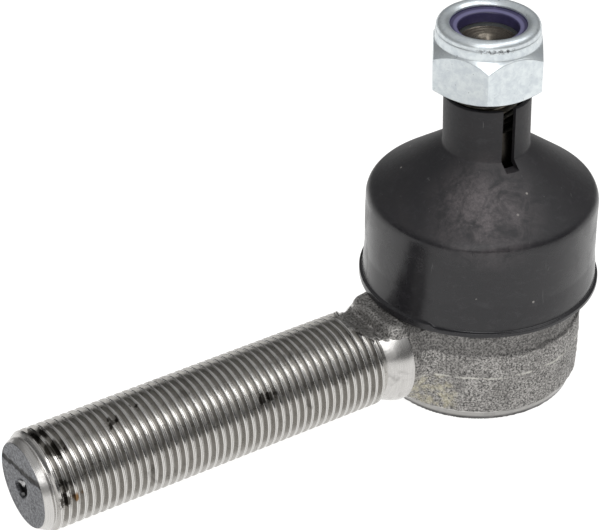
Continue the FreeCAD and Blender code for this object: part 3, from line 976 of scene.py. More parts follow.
@dataclass(frozen=True)
class TurnedSteel(Finish):
    """Rolled shank: painted highlights on the crest edges, grey flanks, oily roots, a sandy sawn end with
    painted shade and a glint in its centre hole, and a bright collar.
    """

    major_radius: float = 9.0
    end_place: float = -94.0
    collar_place: float = -25.4
    face_radius: float = 7.6
    rust_place: tuple[float, float, float] = (-0.0886, -0.00885, 0.0011)
    oil_spots: tuple[tuple[float, float, float, float], ...] = (
        (-91.0, 1.5, 8.9, 2.6), (-89.4, -3.4, 8.3, 2.0), (-77.6, -2.3, 8.7, 1.0), (-78.8, -3.2, 8.4, 0.8),
        (-73.0, -1.1, 8.9, 0.7), (-51.2, -7.5, 5.0, 1.0), (-49.2, -7.3, 5.3, 1.2), (-90.0, -8.2, 3.8, 1.2),
        (-90.6, -8.9, 1.0, 1.5),
    )

    def paint(self, tree: Tree, shader: bpy.types.Node, effects: Effects) -> None:
        """Lay out the thread, then the bright turned stretches, the sandy end face and the rust."""
        place = tree.place()
        x, y, z = tree.parts(place)
        along = tree.millimetres(x)
        distance = tree.group(effects.axis_distance, {}).outputs["From shank"]
        crest = tree.rise(distance, self.major_radius - 0.10, self.major_radius - 0.05)
        rubbed = tree.noise(tree.stretched(place, (0.12, 1.0, 1.0)), 0.8, 4.0, 0.6)
        metal = tree.mix(crest, tree.mix(rubbed, Tone.FLANK_DARK, Tone.FLANK_LIGHT), Tone.CREST)
        # Painted highlight along the two edges of each crest's flat.
        ridge = tree.rise(distance, self.major_radius - 0.045, self.major_radius - 0.008)
        metal = tree.mix(ridge, metal, Tone.CREST_EDGE_HIGHLIGHT)
        metal = tree.mix(self.stain(tree, effects), metal, Tone.OIL)
        rough = tree.blend(crest, tree.rise(rubbed, 0.2, 0.8, 0.24, 0.34), 0.19)
        collar = tree.rise(along, self.collar_place - 0.1, self.collar_place + 0.1)
        smooth = tree.sum("MAXIMUM", collar, tree.fall(along, self.end_place + 1.9, self.end_place + 2.5))
        smear = effects.patch(tree, 260.0, 0.47, 0.22)
        rings = tree.noise(tree.stretched(place, (1.0, 0.04, 0.04)), 0.16, 2.0)
        bright = tree.mix(rings, Tone.COLLAR_DARK, Tone.COLLAR_LIGHT)
        bright = tree.mix(tree.times(smear, 0.6), bright, Tone.COLLAR_SMEAR)
        metal = tree.mix(smooth, metal, bright)
        rough = tree.blend(smooth, rough, tree.rise(smear, 0.0, 1.0, 0.27, 0.42))
        face = tree.times(
            tree.fall(distance, self.face_radius - 0.02, self.face_radius + 0.06),
            tree.fall(along, self.end_place + 2.0, self.end_place + 2.2),
        )
        grain = tree.group(effects.grain, {"Scale": 2600.0}).outputs
        sand = tree.mix(grain["Share"], Tone.SAND_DARK, Tone.SAND_LIGHT)
        # Painted shade deep in the centre hole, with a painted glint in it.
        hole_shade_mask = tree.rise(along, self.end_place + 0.25, self.end_place + 0.8)
        glint = tree.times(hole_shade_mask, tree.rise(tree.noise(place, 1.5, 2.0), 0.52, 0.58))
        sand = tree.mix(glint, tree.mix(hole_shade_mask, sand, Tone.HOLE_SHADE), Tone.GLINT)
        crack = self.crack(tree, place, y, z)
        sand = tree.mix(crack, sand, Tone.CRACK)
        metal = tree.mix(face, metal, sand)
        rough = tree.blend(face, rough, 0.55)
        metal = tree.mix(self.rust(tree, place), metal, Tone.RUST)
        uneven = tree.less(grain["Height"], tree.times(crack, 1.5))
        relief = tree.bump(tree.times(uneven, face), 0.12, 0.8)
        relief = tree.bump(rubbed, 0.012, 0.6, relief)
        tree.wire(shader, Base_Color=metal, Roughness=rough, Normal=relief)

    def stain(self, tree: Tree, effects: Effects) -> Socket:
        """Oil: broad patches, small specks and the larger blots, whichever is darkest."""
        oil = tree.times(effects.patch(tree, 120.0, 0.60, 0.12), 0.45)
        specks = tree.times(effects.patch(tree, 640.0, 0.66, 0.05), 0.7)
        stain = tree.sum("MAXIMUM", oil, specks)
        for across, side, up, radius in self.oil_spots:
            blot = effects.spot_at(tree, (across * MM, side * MM, up * MM), radius)
            stain = tree.sum("MAXIMUM", stain, tree.times(blot, 0.9))
        return stain

    @staticmethod
    def crack(tree: Tree, place: Socket, y: Socket, z: Socket) -> Socket:
        """Dark shear line that wanders across the end face, a little above its middle."""
        wander = tree.times(tree.less(tree.noise(place, 4.0, 3.0), 0.5), 0.0030)
        line = tree.plus(tree.plus(z, tree.times(y, 0.19)), wander)
        return tree.fall(tree.gap(line, 0.0028), 0.00028, 0.00080)

    def rust(self, tree: Tree, place: Socket) -> Socket:
        """One small rust spot low on the near side, close to the end."""
        edge = tree.plus(tree.distance(place, self.rust_place), tree.times(tree.noise(place, 0.8), 0.0012))
        return tree.rise(edge, 0.0010, 0.0017, 0.9, 0.0)


@dataclass(frozen=True)
class BlackMoulding(Finish):
    """Black moulded plastic: a satin skirt, a dusty matt dome with a painted highlight on its front, specks,
    scuffs and scratches.
    """

    shoulder_height: float = 27.0
    crown_highlight_place: tuple[float, float, float] = (-0.0082, -0.0122, 0.0306)

    def paint(self, tree: Tree, shader: bpy.types.Node, effects: Effects) -> None:
        """Lay out the dust, the painted highlight on the crown's front, the scuffs, the specks and the
        scratches, one over the other.
        """
        place = tree.place()
        height = tree.millimetres(tree.parts(place)[2])
        dome = tree.rise(height, self.shoulder_height - 0.9, self.shoulder_height + 0.7)
        haze = tree.times(effects.patch(tree, 85.0, 0.36, 0.4), dome)
        powder = tree.noise(place, 0.5, 4.0, 0.7)
        dust = tree.times(haze, tree.rise(powder, 0.3, 0.7, 0.35, 1.0))
        colour = tree.mix(tree.times(dust, 0.45), Tone.BLACK, Tone.BLACK_DUST)
        # Painted highlight on the crown's front, broken up by noise.
        near = tree.fall(tree.distance(place, self.crown_highlight_place), 0.001, 0.0125)
        crown_highlight = tree.times(near, tree.rise(tree.noise(place, 3.4, 5.0, 0.68, 0.6), 0.32, 0.62))
        crown_highlight = tree.times(crown_highlight, tree.rise(powder, 0.3, 0.65, 0.45, 1.0))
        colour = tree.mix(crown_highlight, colour, Tone.BLACK_CROWN_HIGHLIGHT)
        scuff = tree.noise(tree.stretched(place, (1.0, 1.0, 2.2)), 2.0, 6.0, 0.72, 0.8)
        colour = tree.mix(tree.rise(scuff, 0.5, 0.72, 0.0, 0.45), colour, Tone.BLACK_SCUFF)
        cells = tree.node("ShaderNodeTexVoronoi", {"Vector": place, "Scale": 330.0}, feature="F1").outputs
        chosen = tree.rise(tree.parts(cells["Color"])[0], 0.70, 0.74)
        speck = tree.times(tree.fall(cells["Distance"], 0.05, 0.10), chosen)
        colour = tree.mix(tree.times(speck, 0.7), colour, Tone.BLACK_SPECK)
        lanes = tree.noise(tree.stretched(place, (1.0, 0.75, 0.09)), 0.7, 2.0, 0.5, 0.8)
        colour = tree.mix(tree.times(tree.rise(lanes, 0.72, 0.76), 0.35), colour, Tone.BLACK_SCRATCH)
        skirt = tree.rise(effects.patch(tree, 150.0, 0.4, 0.3), 0.0, 1.0, 0.24, 0.36)
        rough = tree.blend(dome, skirt, tree.rise(powder, 0.2, 0.8, 0.50, 0.62))
        orange = tree.bump(tree.noise(place, 0.9, 3.0, 0.6), 0.02, 0.5)
        relief = tree.bump(powder, 0.008, 0.6, orange)
        tree.wire(shader, Base_Color=colour, Roughness=rough, Normal=relief)


@dataclass(frozen=True)
class ZincPlate(Finish):
    """Zinc plate with a soft mottle, small pits, and grime and painted shade in the fold of a nut's collar.
    """

    bright: Colour = (0.72, 0.77, 0.785, 1.0)
    dull: Colour = (0.58, 0.63, 0.665, 1.0)
    fold_height: float = 58.88

    def paint(self, tree: Tree, shader: bpy.types.Node, effects: Effects) -> None:
        """Lay out the mottle and the pits, then a broken dark line along the fold: grime spots and painted
        shade in the crease.
        """
        place = tree.place()
        mottle = tree.noise(place, 1.3, 5.0, 0.65, 0.4)
        fine = tree.noise(place, 0.22, 3.0, 0.6)
        pits = effects.patch(tree, 1500.0, 0.66, 0.04)
        colour = tree.mix(tree.rise(mottle, 0.3, 0.7), self.bright, self.dull)
        colour = tree.mix(tree.times(pits, 0.6), colour, Tone.ZINC_PIT)
        # A thin line of painted shade runs along the fold's crease all round, darker where a grime spot lies.
        fold = self.fold_height * MM
        line = tree.fall(tree.gap(tree.parts(place)[2], fold), 0.0001, 0.0006)
        grime = effects.spot_at(tree, (-0.0042, -0.0080, fold), 3.6)
        broken = tree.times(grime, tree.rise(tree.noise(place, 0.55, 4.0, 0.7), 0.45, 0.6))
        dark = tree.times(line, tree.sum("ADD", tree.times(broken, 0.8), 0.12, clamp=True))
        colour = tree.mix(dark, colour, Tone.FOLD_GRIME_AND_SHADE)
        rough = tree.plus(tree.rise(mottle, 0.25, 0.75, 0.26, 0.42), tree.times(fine, 0.06))
        relief = tree.bump(mottle, 0.03, 0.35, tree.bump(fine, 0.006, 0.5))
        tree.wire(shader, Base_Color=colour, Roughness=rough, Normal=relief)


@dataclass(frozen=True)
class Plain(Finish):
    """A finish of two close tones, a roughness range and a fine relief, for moulded and hidden pieces."""

    light: Colour = (0.5, 0.5, 0.5, 1.0)
    dark: Colour = (0.4, 0.4, 0.4, 1.0)
    smooth: float = 0.35
    rough: float = 0.5
    length: float = 1.0
    relief: float = 0.01
    shade_below: Optional[float] = None
    lit_ring: Optional[Pair] = None

    def paint(self, tree: Tree, shader: bpy.types.Node, effects: Effects) -> None:
        """Lay out the two tones, then a painted highlight ring or painted shade on a lower stretch where the
        finish has one.
        """
        cloud = tree.noise(tree.place(), self.length, 4.0, 0.6)
        share = tree.times(tree.plus(cloud, effects.patch(tree, 240.0, 0.45, 0.25)), 0.5)
        colour = tree.mix(share, self.dark, self.light)
        if self.lit_ring is not None:
            # Painted highlight on the ring's rounded inner edge.
            away = tree.group(effects.axis_distance, {}).outputs["From stud"]
            inner, outer = self.lit_ring
            ring = tree.times(tree.rise(away, inner, inner + 0.15), tree.fall(away, outer - 0.3, outer))
            colour = tree.mix(tree.times(ring, 0.6), colour, Tone.NYLON_LIT)
        if self.shade_below is not None:
            # Painted shade on the stud below a height, inside the cap's neck.
            height = tree.parts(tree.place())[2]
            shaded = tree.rise(height, (self.shade_below - 3.0) * MM, self.shade_below * MM, 0.8, 0.0)
            colour = tree.mix(shaded, colour, Tone.STUD_SHADE)
        rough = tree.rise(share, 0.1, 0.9, self.rough, self.smooth)
        relief = tree.bump(cloud, self.relief, 0.7)
        tree.wire(shader, Base_Color=colour, Roughness=rough, Normal=relief)


class Finishes:
    """Every finish of the part, built once."""

    def __init__(self) -> None:
        """Build the shared effects and the materials."""
        effects = Effects()
        self.forged = ForgedSteel("forged_steel", "forged_steel", metallic=0.85).build(effects)
        self.turned = TurnedSteel("turned_steel", "forged_steel", metallic=1.0).build(effects)
        self.black = BlackMoulding(
            "black_moulding", "black_moulding", metallic=0.0, specular=0.45
        ).build(effects)
        self.zinc_nut = ZincPlate("bright_zinc", "zinc_nut", metallic=0.8).build(effects)
        self.zinc_plate = ZincPlate(
            "satin_zinc", "zinc_plate", metallic=1.0, bright=(0.66, 0.68, 0.70, 1), dull=(0.46, 0.48, 0.50, 1)
        ).build(effects)
        self.nylon = Plain(
            "blue_nylon", "blue_nylon", metallic=0.0, light=(0.060, 0.052, 0.13, 1),
            dark=(0.026, 0.022, 0.066, 1), smooth=0.30, rough=0.42, lit_ring=(5.40, 6.25),
        ).build(effects)
        self.stud = Plain(
            "stud_steel", "stud_steel", metallic=1.0, light=(0.30, 0.27, 0.225, 1),
            dark=(0.060, 0.052, 0.044, 1), smooth=0.24, rough=0.42, length=0.5, relief=0.015, shade_below=46.5,
        ).build(effects)
        self.rubber = Plain(
            "boot_rubber", "boot_rubber", metallic=0.0, specular=0.35, light=(0.040, 0.039, 0.038, 1),
            dark=(0.014, 0.014, 0.014, 1), smooth=0.55, rough=0.72, length=0.7, relief=0.02,
        ).build(effects)
        self.spring = Plain(
            "spring_steel", "spring_steel", metallic=1.0, light=(0.36, 0.36, 0.37, 1),
            dark=(0.16, 0.16, 0.17, 1), smooth=0.28, rough=0.42, length=0.6,
        ).build(effects)
        self.acetal = Plain(
            "white_acetal", "acetal", metallic=0.0, light=(0.80, 0.79, 0.74, 1),
            dark=(0.70, 0.69, 0.63, 1), smooth=0.32, rough=0.45, length=1.6,
        ).build(effects)


# ---------------------------------------------------------------- forged housing


SHANK_THREAD = ThreadForm(9.0, 1.5, crest_share=0.31, root_share=0.26, crest_dip=0.05)
INSIDE = -math.inf
OUTSIDE = math.inf
# Rings taken out of the eye: inner and outer radius, low and high end.
HOLLOWS = {
    "boot groove": (16.6, 19.4, 7.0, 10.0),
    "step above the groove": (17.3, OUTSIDE, 10.0, OUTSIDE),
    "bearing bore": (INSIDE, 13.0, -8.8, 4.6),
    "closing plate's seat": (INSIDE, 14.8, -10.85, -8.8),
    "open foot": (INSIDE, 13.4, INSIDE, -10.0),
}


@dataclass
class ForgedHousing:
    """Eye and threaded shank, one forging: a rough skin, and the turned shank that grows out of it."""

    end: float
    foot: float
    eye_radius: float
    top: float
    thread: ThreadForm = SHANK_THREAD
    face_radius: float = 7.56
    chamfer: float = 2.4
    thread_stop: float = -25.4
    relief_radius: float = 8.04
    collar_end: float = -20.6
    collar_radius: float = 9.85
    rim_top: float = -9.3
    rim_radius: float = 18.3
    foot_radius: float = 17.62
    parting: float = -1.7
    band: float = 3.0
    band_radius: float = 18.5
    pad_top: float = 8.55
    pad_half_width: float = 7.35
    pad_end: float = -24.4
    tongue_end: float = -29.9
    tongue_line: tuple[Pair, ...] = (
        (-30.6, 9.1), (-29.4, 8.65), (-28.4, 8.15), (-27.2, 7.3), (-25.4, 6.7), (-24.6, 6.5)
    )
    mouth_radius: float = 10.6
    mouth_flare: float = 0.42
    bore_radius: float = 13.0
    bore_top: float = 4.6
    turns: int = 132
    cell: float = 0.33

    @classmethod
    def from_frame(cls) -> "ForgedHousing":
        """Take the outer sizes from the frame."""
        low, high = node_box("forged_housing")
        return cls(end=float(low[0]), foot=float(low[2]), eye_radius=float(high[0]), top=float(high[2]))

    def shank_radius(self, along: np.ndarray) -> np.ndarray:
        """Largest radius of the threaded stretch: the end chamfer, the thread, then a fall to the relief.

        Args:
            along: distance from the end face.
        Returns:
            The radius there.
        """
        length = self.thread_stop - self.end
        major = self.thread.major_radius
        knots = [0.0, 0.12, self.chamfer, length - 1.1, length - 0.5, length]
        radii = [self.face_radius, self.face_radius + 0.10, major, major]
        radii += [self.relief_radius, self.relief_radius]
        return np.interp(along, knots, radii)

    def end_face(self) -> np.ndarray:
        """Outline of the end face from its rim inwards, with a shallow centre hole.

        Returns:
            (n, 2) points of radius and distance from the face.
        """
        flat = np.stack([np.linspace(self.face_radius, 1.9, 22), np.zeros(22)], axis=1)
        hole = np.array([[1.7, 0.06], [1.45, 0.35], [1.0, 0.9], [0.5, 1.4], [0.0, 1.6]])
        return np.vstack([flat, hole])[::-1]

    def collar_outline(self) -> np.ndarray:
        """Outline of the collar from the relief to its hidden root.

        The radius follows a quarter sine from the relief up to the collar's edge.

        Returns:
            (n, 2) points of radius and distance from the end face.
        """
        share = np.linspace(0.0, 1.0, 22)
        start = self.thread_stop - self.end
        stop = self.collar_end - self.end
        widest = self.collar_radius
        rise = self.relief_radius + (widest - self.relief_radius) * np.sin(share * math.pi / 2.0) ** 0.9
        flare = np.stack([rise, start + (stop - 0.25 - start) * share], axis=1)
        edge = [[widest, stop - 0.12], [widest - 0.10, stop], [widest - 0.5, stop + 0.02]]
        root = [[widest - 0.6, stop + 0.3], [widest - 0.9, stop + 3.0], [0.0, stop + 3.0]]
        return np.vstack([flare, edge, root])

    def shank_surface(self) -> Surface:
        """Threaded shank with its end face and collar, trimmed flat on top of the last threads."""
        length = self.thread_stop - self.end
        body = threaded(self.thread, 0.0, length, self.shank_radius, self.turns)
        face = turned(self.end_face(), self.turns, closed=False)
        collar = turned(self.collar_outline(), self.turns, closed=False)
        surface = face.joined(body).joined(collar)
        surface.points[:, 2] += self.end
        laid = surface.laid(Lie.ALONG_SHANK)
        points = laid.points
        self.dent_centre_hole(points)
        ceiling = self.tongue_height(points) - 0.30
        ceiling += (7.9 - ceiling) * smooth_step(self.pad_end + 0.2, self.pad_end + 0.7, points[:, 0])
        trimmed = points[:, 0] > self.tongue_end + 0.1
        points[:, 2] = np.where(trimmed, np.minimum(points[:, 2], ceiling), points[:, 2])
        return laid

    def dent_centre_hole(self, points: np.ndarray) -> None:
        """Smear the centre hole sideways into an uneven slot and wave the face slightly."""
        near = smooth_step(0.9, 0.0, points[:, 0] - self.end - 0.9)
        inner = smooth_step(3.6, 0.4, np.hypot(points[:, 1], points[:, 2])) * near
        points[:, 1] += inner * (1.3 + 0.5 * points[:, 1])
        points[:, 2] += inner * (0.45 * points[:, 2] - 1.2 - 0.5 * points[:, 1])
        flat = smooth_step(0.6, 0.0, points[:, 0] - self.end)
        inside = smooth_step(7.5, 6.9, np.hypot(points[:, 1], points[:, 2]))
        points[:, 0] += flat * inside * np.maximum(0.03 * (1.0 + waves(points[:, 1:], 2.5, seed=5)), 0.0)

    def tongue_height(self, points: np.ndarray) -> np.ndarray:
        """Height of the rough trimmed flat over the last threads: it slopes down to the pad and is uneven."""
        fall = np.interp(points[:, 0], *zip(*self.tongue_line))
        return fall + 0.08 * waves(points[:, :2], 1.6, seed=11)

    def eye_field(self, points: np.ndarray) -> np.ndarray:
        """Distance to the eye's outer shape: a turned rim, a sloped stretch, a band and a smaller top."""
        radius = np.hypot(points[:, 0], points[:, 1])
        height = points[:, 2]
        around = points[:, :2] / np.maximum(radius, 1.0)[:, None] * 19.0
        uneven = 0.09 * waves(points, 7.0, seed=1) + 0.04 * waves(points, 2.0, seed=2)
        forged = radius - self.eye_radius + 0.18 + uneven
        above_rim = (self.rim_radius + 0.12, self.rim_top)
        sloped = self.slanted(radius, height, above_rim, (self.eye_radius, self.parting))
        forged = np.maximum(forged, sloped + uneven)
        ridge = 0.10 * np.exp(-((height - self.parting - 0.25 * waves(around, 9.0, seed=4)) / 0.16) ** 2)
        forged = forged - ridge
        step_height = self.band + 0.45 * waves(around, 11.0, seed=3) + 0.15 * waves(around, 3.0, seed=8)
        lower = np.maximum(forged, height - step_height)
        lower = np.maximum(lower, self.rim_top - height)
        upper = np.maximum(radius - self.band_radius + uneven * 1.6, height - self.top)
        upper = np.maximum(upper, self.rim_top - height)
        rim = self.slanted(radius, height, (self.foot_radius, self.foot), (self.rim_radius, self.rim_top))
        rim = np.maximum(np.maximum(rim, self.foot - height), height - self.rim_top - 0.3)
        return np.minimum(smooth_union(lower, upper, 0.5), rim)

    @staticmethod
    def slanted(radius: np.ndarray, height: np.ndarray, low: Pair, high: Pair) -> np.ndarray:
        """Distance outside the cone through two (radius, height) points."""
        run = high[0] - low[0]
        climb = high[1] - low[1]
        length = math.hypot(run, climb)
        return ((radius - low[0]) * climb - (height - low[1]) * run) / length

    def neck_field(self, points: np.ndarray) -> np.ndarray:
        """Distance to the forged root between collar and eye, with the pad and the tongue on top."""
        uneven = 0.10 * waves(points, 5.0, seed=6)
        across = np.hypot(points[:, 1], points[:, 2] * 1.02)
        root = across - (self.collar_radius - 0.35) + uneven
        root = np.maximum.reduce([root, self.collar_end + 0.03 - points[:, 0], points[:, 0]])
        corner = 2.4
        half = np.interp(points[:, 0], [-25.0, -22.3], [self.pad_half_width - 1.6, self.pad_half_width])
        side = np.abs(points[:, 1]) - half + corner
        rise = np.abs(points[:, 2] - 2.0) - (self.pad_top - 2.0) + corner
        nose = self.pad_end + corner * 0.55 - points[:, 0]
        beyond = [np.maximum(side, 0.0), np.maximum(rise, 0.0), np.maximum(nose, 0.0)]
        pad = np.sqrt(beyond[0] ** 2 + beyond[1] ** 2 + beyond[2] ** 2 * 3.3) - corner
        pad = np.maximum(pad + uneven, points[:, 0])
        pad = np.maximum(pad, -points[:, 2])
        trimmed = self.tongue_height(points)
        tongue = np.maximum(points[:, 2] - trimmed, trimmed - 0.5 - points[:, 2])
        tip = self.tongue_end - points[:, 0] + 0.4 * waves(points[:, 1:2], 4.0, seed=9)
        tongue = np.maximum(tongue, np.maximum(tip, points[:, 0] + 20.0))
        edge = 8.35 + 0.5 * smooth_step(self.thread_stop, self.thread_stop + 1.6, points[:, 0])
        tongue = np.maximum(tongue, np.hypot(points[:, 1], points[:, 2]) - edge)
        return smooth_union(smooth_union(root, pad, 1.6), tongue, 0.6)

    def skin_field(self, points: np.ndarray) -> np.ndarray:
        """Distance to the whole forged skin, with the bore, the mouth and the boot's groove taken out."""
        radius = np.hypot(points[:, 0], points[:, 1])
        height = points[:, 2]
        solid = smooth_union(self.eye_field(points), self.neck_field(points), 2.6)
        solid = np.maximum(solid, self.foot - height)
        throat = radius - self.mouth_radius - self.mouth_flare * np.maximum(height - 7.8, 0.0)
        cone = np.maximum(radius - self.bore_radius + height - self.bore_top, height - 7.1)
        hollow = np.maximum(np.minimum(throat, cone), 4.0 - height)
        for inner, outer, low, high in HOLLOWS.values():
            ring = np.maximum.reduce([inner - radius, radius - outer, low - height, height - high])
            hollow = np.minimum(hollow, ring)
        return np.maximum(solid, -hollow)

    def skin_surface(self) -> Surface:
        """Forged skin, with the blasted grain raised and sunk along the slope of its field."""
        low = (self.tongue_end - 1.0, -self.eye_radius - 1.0, self.foot - 0.9)
        high = (self.eye_radius + 1.0, self.eye_radius + 1.0, self.top + 0.9)
        surface = contour(self.skin_field, low, high, self.cell)
        points = surface.points
        direction = slope(self.skin_field, points, 0.05)
        direction /= np.maximum(np.linalg.norm(direction, axis=1), 1e-6)[:, None]
        radius = np.hypot(points[:, 0], points[:, 1])
        rough = (points[:, 2] > self.rim_top + 0.2) & (points[:, 2] < self.pad_top + 0.4)
        rough &= (radius > 17.5) | (points[:, 0] < -17.5)
        grain = 0.035 * waves(points, 0.9, seed=21, count=40) + 0.03 * waves(points, 1.7, seed=22, count=40)
        surface.points = points + direction * (np.where(rough, grain, 0.0) - 0.02)[:, None]
        return surface

    def build(self, finishes: Finishes) -> None:
        """Make the two pieces of the forging and put them on the housing."""
        skin = add_object("forged_eye", self.skin_surface(), sharp=60.0)
        finishes.forged.dress(skin)
        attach(skin, Body.HOUSING.value)
        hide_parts("forged_housing")
        shank = add_object("threaded_shank", self.shank_surface(), sharp=40.0)
        finishes.turned.dress(shank)
        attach(shank, Body.HOUSING.value)


# ---------------------------------------------------------------- ball stud


@dataclass
class BallStud:
    """Flat-bottomed ball, waisted neck, ground taper and threaded end."""

    top: float
    ball_radius: float
    flat: float
    thread: ThreadForm = ThreadForm(6.0, 1.25)
    neck_radius: float = 5.6
    neck_top: float = 13.0
    land_low: float = 19.0
    land_high: float = 22.0
    land_radius: float = 7.3
    taper_top: float = 41.0
    taper_top_radius: float = 6.11
    thread_low: float = 41.6
    relief_radius: float = 5.18
    end_radius: float = 4.95
    turns: int = 96

    @classmethod
    def from_frame(cls) -> "BallStud":
        """Take the ball and the overall height from the frame."""
        low, high = node_box("ball_stud")
        return cls(top=float(high[2]), ball_radius=float(high[0]), flat=float(low[2]))

    def envelope(self, height: np.ndarray) -> np.ndarray:
        """Largest radius of the threaded stretch: a relief, the run-in, then the end chamfer."""
        major = self.thread.major_radius
        knots = [self.thread_low, self.thread_low + 0.5, self.thread_low + 1.3, self.top - 1.0, self.top]
        radii = [self.relief_radius, self.relief_radius, major, major, self.end_radius]
        return np.interp(height, knots, radii)

    def lower_outline(self) -> np.ndarray:
        """Outline from the ball's flat up to the thread's relief."""
        start = math.asin(self.flat / self.ball_radius)
        stop = math.acos(self.neck_radius / self.ball_radius)
        ball = arc_points((0.0, 0.0), self.ball_radius, start, stop, 40)
        share = np.linspace(0.0, 1.0, 10)
        ease = 0.5 - 0.5 * np.cos(share * math.pi)
        flare = self.neck_radius + (self.land_radius - self.neck_radius) * ease
        waist = np.stack([flare, self.neck_top + (self.land_low - self.neck_top) * share], axis=1)
        rest = [[self.land_radius, self.land_high], [self.taper_top_radius, self.taper_top],
                [self.relief_radius, self.taper_top + 0.35], [self.relief_radius, self.thread_low]]
        return np.vstack([[[0.0, self.flat]], ball, waist, rest])

    def end_outline(self) -> np.ndarray:
        """Outline of the turned end: fine rings, then a centre hole."""
        ring = np.linspace(self.end_radius, 2.25, 28)
        ripple = 0.05 * np.cos((self.end_radius - ring) * TAU / 0.45)
        rings = np.stack([ring, self.top - 0.05 + ripple], axis=1)
        hole = np.array([[2.05, -0.12], [1.55, -0.7], [1.2, -1.25], [0.55, -1.5], [0.0, -1.55]])
        return np.vstack([rings, hole + [0.0, self.top]])

    def build(self, finishes: Finishes) -> None:
        """Make the stud and put it on its body."""
        lower = turned(densified(self.lower_outline(), 2.0, closed=False), self.turns, closed=False)
        thread = threaded(self.thread, self.thread_low, self.top, self.envelope, self.turns)
        end = turned(self.end_outline(), self.turns, closed=False)
        piece = add_object("ball_stud_turned", lower.joined(thread).joined(end), sharp=40.0)
        finishes.stud.dress(piece)
        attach(piece, Body.STUD.value)
        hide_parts("ball_stud")


# ---------------------------------------------------------------- cap and boot


@dataclass
class TransitCap:
    """Moulded cap: rim, skirt, rounded shoulder, conical crown and a neck that is split on one side."""

    rim_radius: float
    low: float
    top: float
    rim_height: float = 0.8
    skirt_radius: float = 21.1
    waist_radius: float = 20.75
    waist_height: float = 15.0
    shoulder_height: float = 26.76
    shoulder_round: float = 2.7
    crown_slope: float = 0.74
    crown_drop: float = 1.43
    wall: float = 1.15
    neck_radius: float = 7.72
    neck_bore: float = 6.9
    neck_foot_round: float = 0.55
    slot_width: float = 2.5
    slot_low: float = 35.0
    slot_turn: float = -4.5
    lean: float = 0.42
    lean_side: tuple[float, float] = (0.8388, -0.5444)
    lap_from: float = -150.0
    lap_to: float = -60.0
    turns: int = 192

    @classmethod
    def from_frame(cls) -> "TransitCap":
        """Take the rim and the height from the frame."""
        low, high = node_box("transit_cap")
        return cls(rim_radius=float(high[0]), low=float(low[2]), top=float(high[2]))

    def crown(self, radius: float) -> float:
        """Height of the conical crown's outside at a distance from the axis."""
        return self.shoulder_height + self.crown_slope * (self.waist_radius - radius)

    def outline(self) -> np.ndarray:
        """Closed outline, anticlockwise from the inside of the rim."""
        rim_top = self.low + self.rim_height
        inner = self.waist_radius - self.wall
        outer = [
            (self.skirt_radius - self.wall, self.low, 0.15),
            (self.rim_radius, self.low, 0.18),
            (self.rim_radius, rim_top, 0.18),
            (self.skirt_radius + 0.1, rim_top + 0.18, 0.25),
            (self.waist_radius, self.waist_height, 6.0),
            (self.waist_radius, self.shoulder_height, self.shoulder_round),
            (self.neck_radius, self.crown(self.neck_radius), self.neck_foot_round),
            (self.neck_radius, self.top, 0.15),
        ]
        inside = [
            (self.neck_bore, self.top, 0.15),
            (self.neck_bore, self.crown(self.neck_bore) - self.crown_drop, 0.5),
            (inner, self.crown(inner) - self.crown_drop, 1.4),
            (inner, self.waist_height, 6.0),
        ]
        return densified(rounded(outer + inside, 8), 0.9)

    def shaped(self, surface: Surface) -> Surface:
        """Make the turned shape uneven as a soft moulding is.

        The skirt is waved by a tenth of a millimetre, the crown and neck lean slightly to one side, and
        a stretch of the rim is thicker, with a step at its end where the moulding's flash laps over.

        Args:
            surface: the turned shape, which is changed.
        Returns:
            The same surface.
        """
        points = surface.points
        radius = np.hypot(points[:, 0], points[:, 1])
        around = points[:, :2] / np.maximum(radius, 1.0)[:, None] * 20.0
        out = points[:, :2] / np.maximum(radius, 1e-6)[:, None]
        bent = smooth_step(20.0, 37.0, points[:, 2]) - 0.24 * smooth_step(37.0, self.top, points[:, 2])
        skirt = smooth_step(10.6, 13.0, points[:, 2]) * smooth_step(30.0, 24.0, points[:, 2])
        points[:, :2] += out * (0.07 * waves(around, 16.0, seed=31) * skirt)[:, None]
        angle = np.degrees(np.arctan2(points[:, 0], -points[:, 1]))
        in_lap = ((angle > self.lap_from) & (angle < self.lap_to)).astype(float)
        rim = smooth_step(self.low + 2.2, self.low + 0.9, points[:, 2]) * smooth_step(20.6, 20.9, radius)
        thick = smooth_step(self.low + 0.05, self.low + 0.4, points[:, 2])
        points[:, 2] += rim * thick * (0.55 * in_lap)
        points[:, :2] -= out * (rim * (1.0 - in_lap) * 0.12)[:, None]
        points[:, :2] += self.lean * bent[:, None] * np.array(self.lean_side)
        return surface

    def build(self, finishes: Finishes) -> None:
        """Make the cap and split its neck."""
        surface = self.shaped(turned(self.outline(), self.turns))
        piece = add_object("transit_cap_moulded", surface, sharp=50.0)
        half = self.slot_width / 2.0
        low = (-half, -self.neck_radius - 3.2, self.slot_low)
        cut_away(piece, box_surface(low, (half, -2.0, self.top + 2.0), self.slot_turn))
        finishes.black.dress(piece)
        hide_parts("transit_cap")
        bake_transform(piece)


